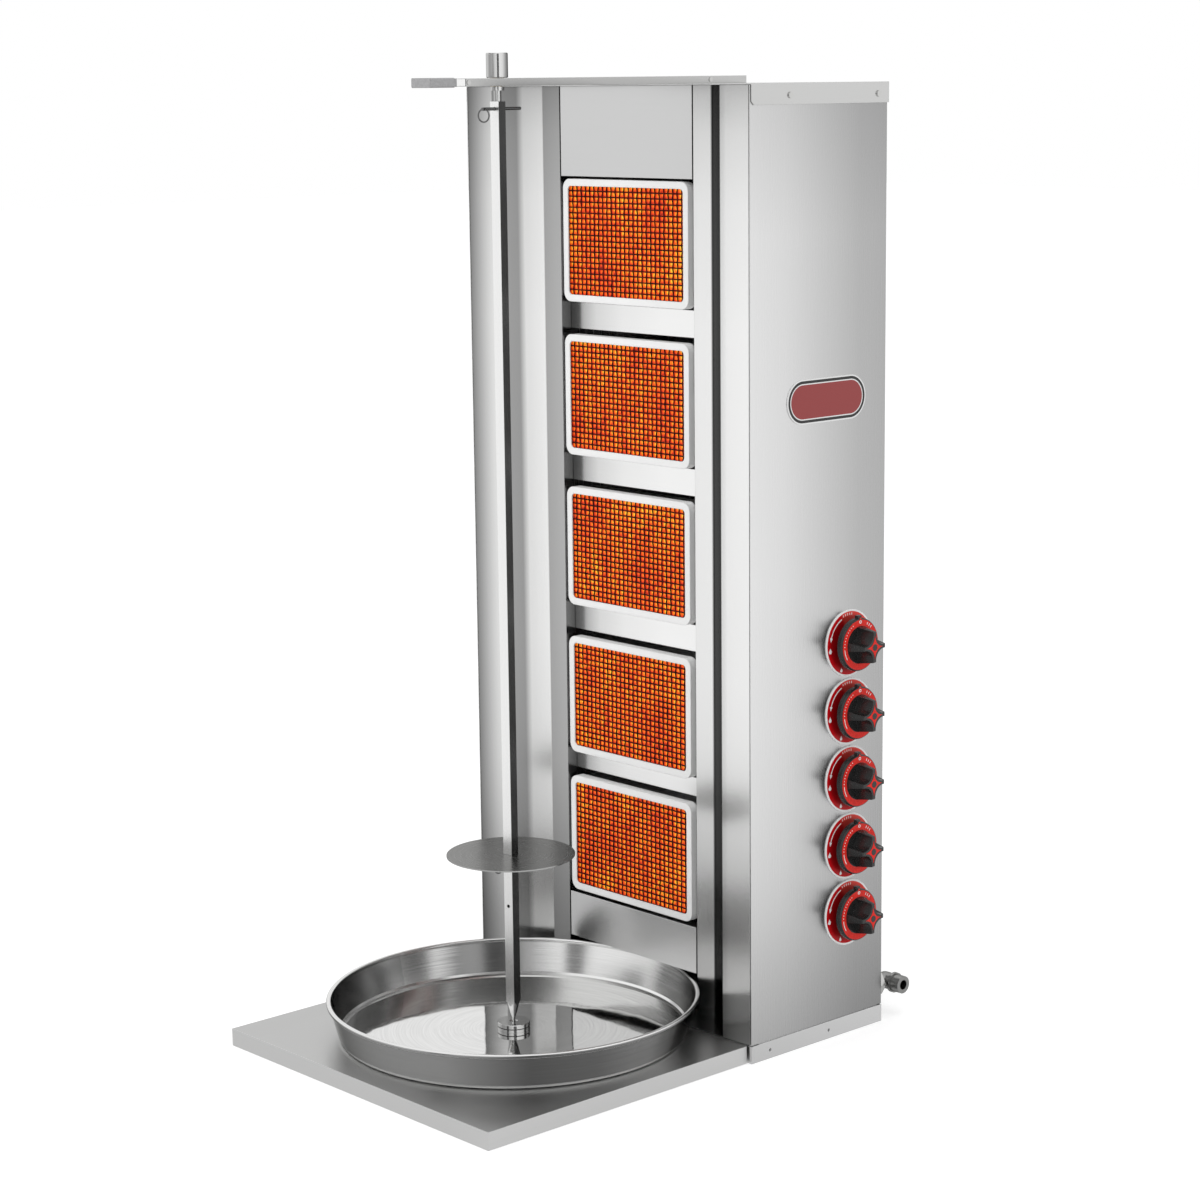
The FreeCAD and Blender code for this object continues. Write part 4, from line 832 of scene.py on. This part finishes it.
knobLooks = {
    "face": 0.2544,             # X of the skirt's flat front
    "end": 0.2769,              # and of the grip's
    "ringInner": 0.0218,
    "ringOuter": 0.0291,
    "thick": 0.00025,
    "pointerHalf": 0.0026,
    "pointerReach": 0.0028,     # past the ring
    "pointerSunk": 0.0006,      # into it
}
knobMarks = {
    "thick": 0.0001,
    "line": 0.0009,
    "ringAt": 0.0266,           # a small ring at the top
    "ringRadius": 0.0015,
    "radius": 0.0262,           # of the row of dots and of the arc
    "dotAngles": [118 + 7.6 * i for i in range(9)],
    "dotRadius": 0.00065,
    "arc": (186, 214),
    "tickAngles": (48, 56, 64),
    "tickSpan": (0.0245, 0.0275),
}
starLooks = {
    "waist": 0.0056,
    "tip": 0.0134,
    "thick": 0.0003,
    "eye": 0.0038,
    "eyeThick": 0.0002,
}


def knobRingMesh(bm):
    looks = knobLooks
    inner, outer, half = looks["ringInner"], looks["ringOuter"], looks["pointerHalf"]
    strip(bm, circle((inner + outer) / 2, 72), outer - inner, looks["thick"], looks["face"], closed=True)
    foot = outer - looks["pointerSunk"]
    slab(bm, [(-half, foot), (half, foot), polar(outer + looks["pointerReach"], 90)], looks["thick"], looks["face"])


def knobMarkMesh(bm):
    looks = knobMarks
    x = knobLooks["face"] + knobLooks["thick"]
    line, thick, radius = looks["line"], looks["thick"], looks["radius"]
    top = Vector((0, looks["ringAt"]))
    strip(bm, [top + point for point in circle(looks["ringRadius"], 20)], line, thick, x, closed=True)
    for degrees in looks["dotAngles"]:
        slab(bm, [polar(radius, degrees) + point for point in circle(looks["dotRadius"], 6)], thick, x)
    strip(bm, arc(radius, *looks["arc"]), line, thick, x)
    ticks(bm, looks["tickAngles"], looks["tickSpan"], line, thick, x)


def starOutline(waist, tip, steps=8):
    # four points, and between them sides that curve in
    points = []
    for quarter in range(4):
        start = polar(tip, 90 * quarter)
        stop = polar(tip, 90 * quarter + 90)
        middle = polar(waist, 90 * quarter + 45)
        for i in range(steps):
            t = i / steps
            points.append(start * (1 - t) ** 2 + (middle * 2 - (start + stop) / 2) * 2 * t * (1 - t) + stop * t ** 2)
    return points


def starMesh(bm):
    slab(bm, starOutline(starLooks["waist"], starLooks["tip"]), starLooks["thick"], knobLooks["end"])


def starEyeMesh(bm):
    slab(bm, circle(starLooks["eye"], 24), starLooks["eyeThick"], knobLooks["end"] + starLooks["thick"])


def repeatTree(name, material):
    # copies a shape to each point of a column
    tree, get, end = newTree(name, [
        ("Shape", "NodeSocketObject", None), ("Count", "NodeSocketInt", 1), ("Pitch", "NodeSocketFloat", 0.08),
        ("First", "NodeSocketVector", None)])
    step = addNode(tree, "ShaderNodeCombineXYZ", Z=get["Pitch"])
    column = addNode(tree, "GeometryNodeMeshLine", Count=get["Count"], Offset=step.outputs[0],
                     Start_Location=get["First"])
    shape = addNode(tree, "GeometryNodeObjectInfo", Object=get["Shape"])
    copies = addNode(tree, "GeometryNodeInstanceOnPoints", Points=column.outputs[0],
                     Instance=shape.outputs["Geometry"])
    finishTree(tree, end, copies.outputs[0], material)
    return tree


def columnPiece(name, build, material, body, first, count):
    def outwards(bm):
        build(bm)
        bmesh.ops.recalc_face_normals(bm, faces=bm.faces)
    shape = fromMesh(name + "Shape", outwards)
    lowest = dialLooks["lowestZ"] + dialLooks["pitch"] * first
    piece = grow(name, repeatTree(name, material), {
        "Shape": shape, "Count": count, "Pitch": dialLooks["pitch"],
        "First": Vector((0, dialLooks["axisY"], lowest))}, body)
    bpy.data.objects.remove(shape)
    return piece


columnPiece("dialMarks", dialMarkMesh, whiteMark, "tower", 0, 5)
for number in range(1, 6):
    body = "dial_%d" % number
    columnPiece("knobRing_%d" % number, knobRingMesh, redInlay, body, 5 - number, 1)
    columnPiece("knobMarks_%d" % number, knobMarkMesh, whiteMark, body, 5 - number, 1)
    columnPiece("knobStar_%d" % number, starMesh, redInlay, body, 5 - number, 1)
    columnPiece("knobEye_%d" % number, starEyeMesh, blackKnobPlastic, body, 5 - number, 1)
print("prints ready")


# Floor, reflection cards, lamps and camera

studio = {
    "lensMm": 85.05,
    "yaw": 47.705,
    "pitch": 10.439,
    "roll": -0.658,
    "camera": (2.4041, -2.1970, 1.1078),
    "worldFill": 0.86,
    "mirrored": 1.0,            # how bright the surroundings look in metal
    "floorShadowInMetal": 0.62,          # and how bright the floor looks in it close to the object, as a painted shadow
    "shadowPlace": (-0.10, -0.15),
    "shadowReach": 1.6,
    "floorHalf": 20,
    "floorDrop": 0.0002,
    "floorColor": (0.80, 0.80, 0.80, 1),
    "floorGlow": 0.40,
    "underPlace": (0.0, 0.11),  # the floor under the base doesn't glow
    "underHalf": (0.23, 0.10),
    "lampTarget": (0, 0, 0.5),
}
# direction seen from the object in degrees, distance, half width, lowest, highest, brightness
cards = {
    "cameraCard": (-33.0, 3.4, 0.62, -0.1, 1.9, 0.10),
    "frontCard": (-84.0, 2.6, 0.30, -0.1, 1.1, 0.12),
}
# place, width, power
lamps = {
    "keyLight": ((-1.6, -3.0, 2.6), 2.0, 26.0),
    "topLight": ((1.4, -0.6, 3.2), 1.6, 18.0),
}


def makeCamera():
    yaw, pitch, roll = (math.radians(studio[key]) for key in ("yaw", "pitch", "roll"))
    forward = Vector((-math.sin(yaw) * math.cos(pitch), math.cos(yaw) * math.cos(pitch), -math.sin(pitch)))
    flatRight = forward.cross(Vector((0, 0, 1))).normalized()
    flatUp = flatRight.cross(forward)
    right = flatRight * math.cos(roll) + flatUp * math.sin(roll)
    up = -flatRight * math.sin(roll) + flatUp * math.cos(roll)
    data = bpy.data.cameras.new("photoCamera")
    data.sensor_width = 36
    data.lens = studio["lensMm"]
    data.clip_end = 50
    camera = bpy.data.objects.new("photoCamera", data)
    camera.matrix_world = Matrix((right, up, -forward)).transposed().to_4x4()
    camera.location = studio["camera"]
    scene.collection.objects.link(camera)
    scene.camera = camera


def makeWorld():
    world = bpy.data.worlds.new("studioWorld")
    scene.world = world
    world.use_nodes = True
    tree = world.node_tree
    path = tree.nodes.new("ShaderNodeLightPath")
    fill, shine = studio["worldFill"], studio["mirrored"]
    inMetal = mixed(tree, "MIX", path.outputs["Is Glossy Ray"], (fill, fill, fill), (shine, shine, shine))
    seen = calc(tree, "ADD", path.outputs["Is Camera Ray"], path.outputs["Is Transmission Ray"], clamp=True)
    join(tree, mixed(tree, "MIX", seen, inMetal, (1.0, 1.0, 1.0)), tree.nodes["Background"].inputs["Color"])


def chosen(tree, factor, first, second):
    node = tree.nodes.new("ShaderNodeMixShader")
    for slot, source in zip(node.inputs, (factor, first, second)):
        join(tree, source, slot)
    return node.outputs[0]


def makeFloor():
    half = studio["floorHalf"]

    def build(bm):
        corners = ((-half, -half), (half, -half), (half, half), (-half, half))
        bm.faces.new([bm.verts.new((x, y, -studio["floorDrop"])) for x, y in corners])
    floor = fromMesh("studioFloor", build)
    material, tree, shader = newMaterial("paleFloor")
    shader.inputs["Base Color"].default_value = studio["floorColor"]
    shader.inputs["Roughness"].default_value = 0.9
    shader.inputs["Specular IOR Level"].default_value = 0.1
    # painted shadow: metal sees the floor darker near the object's front and left
    x, y, z = objectAxes(tree)
    offsets = [calc(tree, "SUBTRACT", axis, place) for axis, place in zip((x, y), studio["shadowPlace"])]
    away = hypotenuse(tree, *offsets)
    paintedShadow = ramp(tree, calc(tree, "DIVIDE", away, studio["shadowReach"]), [(0.22, studio["floorShadowInMetal"]), (0.7, 1.0)])
    mirrored = addNode(tree, "ShaderNodeEmission", Color=paintedShadow)
    # the camera sees it white apart from the shadow
    under = [calc(tree, "LESS_THAN", calc(tree, "ABSOLUTE", calc(tree, "SUBTRACT", axis, place)), reach)
             for axis, place, reach in zip((x, y), studio["underPlace"], studio["underHalf"])]
    beside = calc(tree, "SUBTRACT", 1.0, calc(tree, "MULTIPLY", *under))
    glow = addNode(tree, "ShaderNodeEmission", Color=(1, 1, 1, 1),
                   Strength=calc(tree, "MULTIPLY", beside, studio["floorGlow"]))
    added = tree.nodes.new("ShaderNodeAddShader")
    join(tree, shader.outputs[0], added.inputs[0])
    join(tree, glow.outputs[0], added.inputs[1])
    path = tree.nodes.new("ShaderNodeLightPath")
    whiter = chosen(tree, path.outputs["Is Camera Ray"], shader.outputs[0], added.outputs[0])
    whole = chosen(tree, path.outputs["Is Glossy Ray"], whiter, mirrored.outputs[0])
    join(tree, whole, tree.nodes["Material Output"].inputs["Surface"])
    floor.data.materials.append(material)


def makeCard(name, direction, distance, halfWidth, low, high, brightness):
    # a dark card that shows in reflections alone
    out = Vector((math.cos(math.radians(direction)), math.sin(math.radians(direction)), 0))
    side = Vector((-out.y, out.x, 0)) * halfWidth
    middle = out * distance
    foot, head = Vector((0, 0, low)), Vector((0, 0, high))
    corners = [middle - side + foot, middle + side + foot, middle + side + head, middle - side + head]
    piece = fromMesh(name, lambda bm: bm.faces.new([bm.verts.new(p) for p in corners]))
    material, tree, shader = newMaterial(name)
    glow = addNode(tree, "ShaderNodeEmission", Color=(brightness, brightness, brightness, 1))
    join(tree, glow.outputs[0], tree.nodes["Material Output"].inputs["Surface"])
    piece.data.materials.append(material)
    piece.visible_camera = False
    piece.visible_shadow = False
    piece.visible_diffuse = False


def areaLight(name, place, width, power):
    data = bpy.data.lights.new(name, "AREA")
    data.shape = "RECTANGLE"
    data.size = width
    data.size_y = width
    data.energy = power
    lamp = bpy.data.objects.new(name, data)
    lamp.location = place
    lamp.rotation_euler = (Vector(studio["lampTarget"]) - Vector(place)).to_track_quat("-Z", "Y").to_euler()
    lamp.visible_camera = False
    lamp.visible_glossy = False
    scene.collection.objects.link(lamp)


makeCamera()
makeWorld()
makeFloor()
for name, values in cards.items():
    makeCard(name, *values)
for name, values in lamps.items():
    areaLight(name, *values)
print("studio ready")
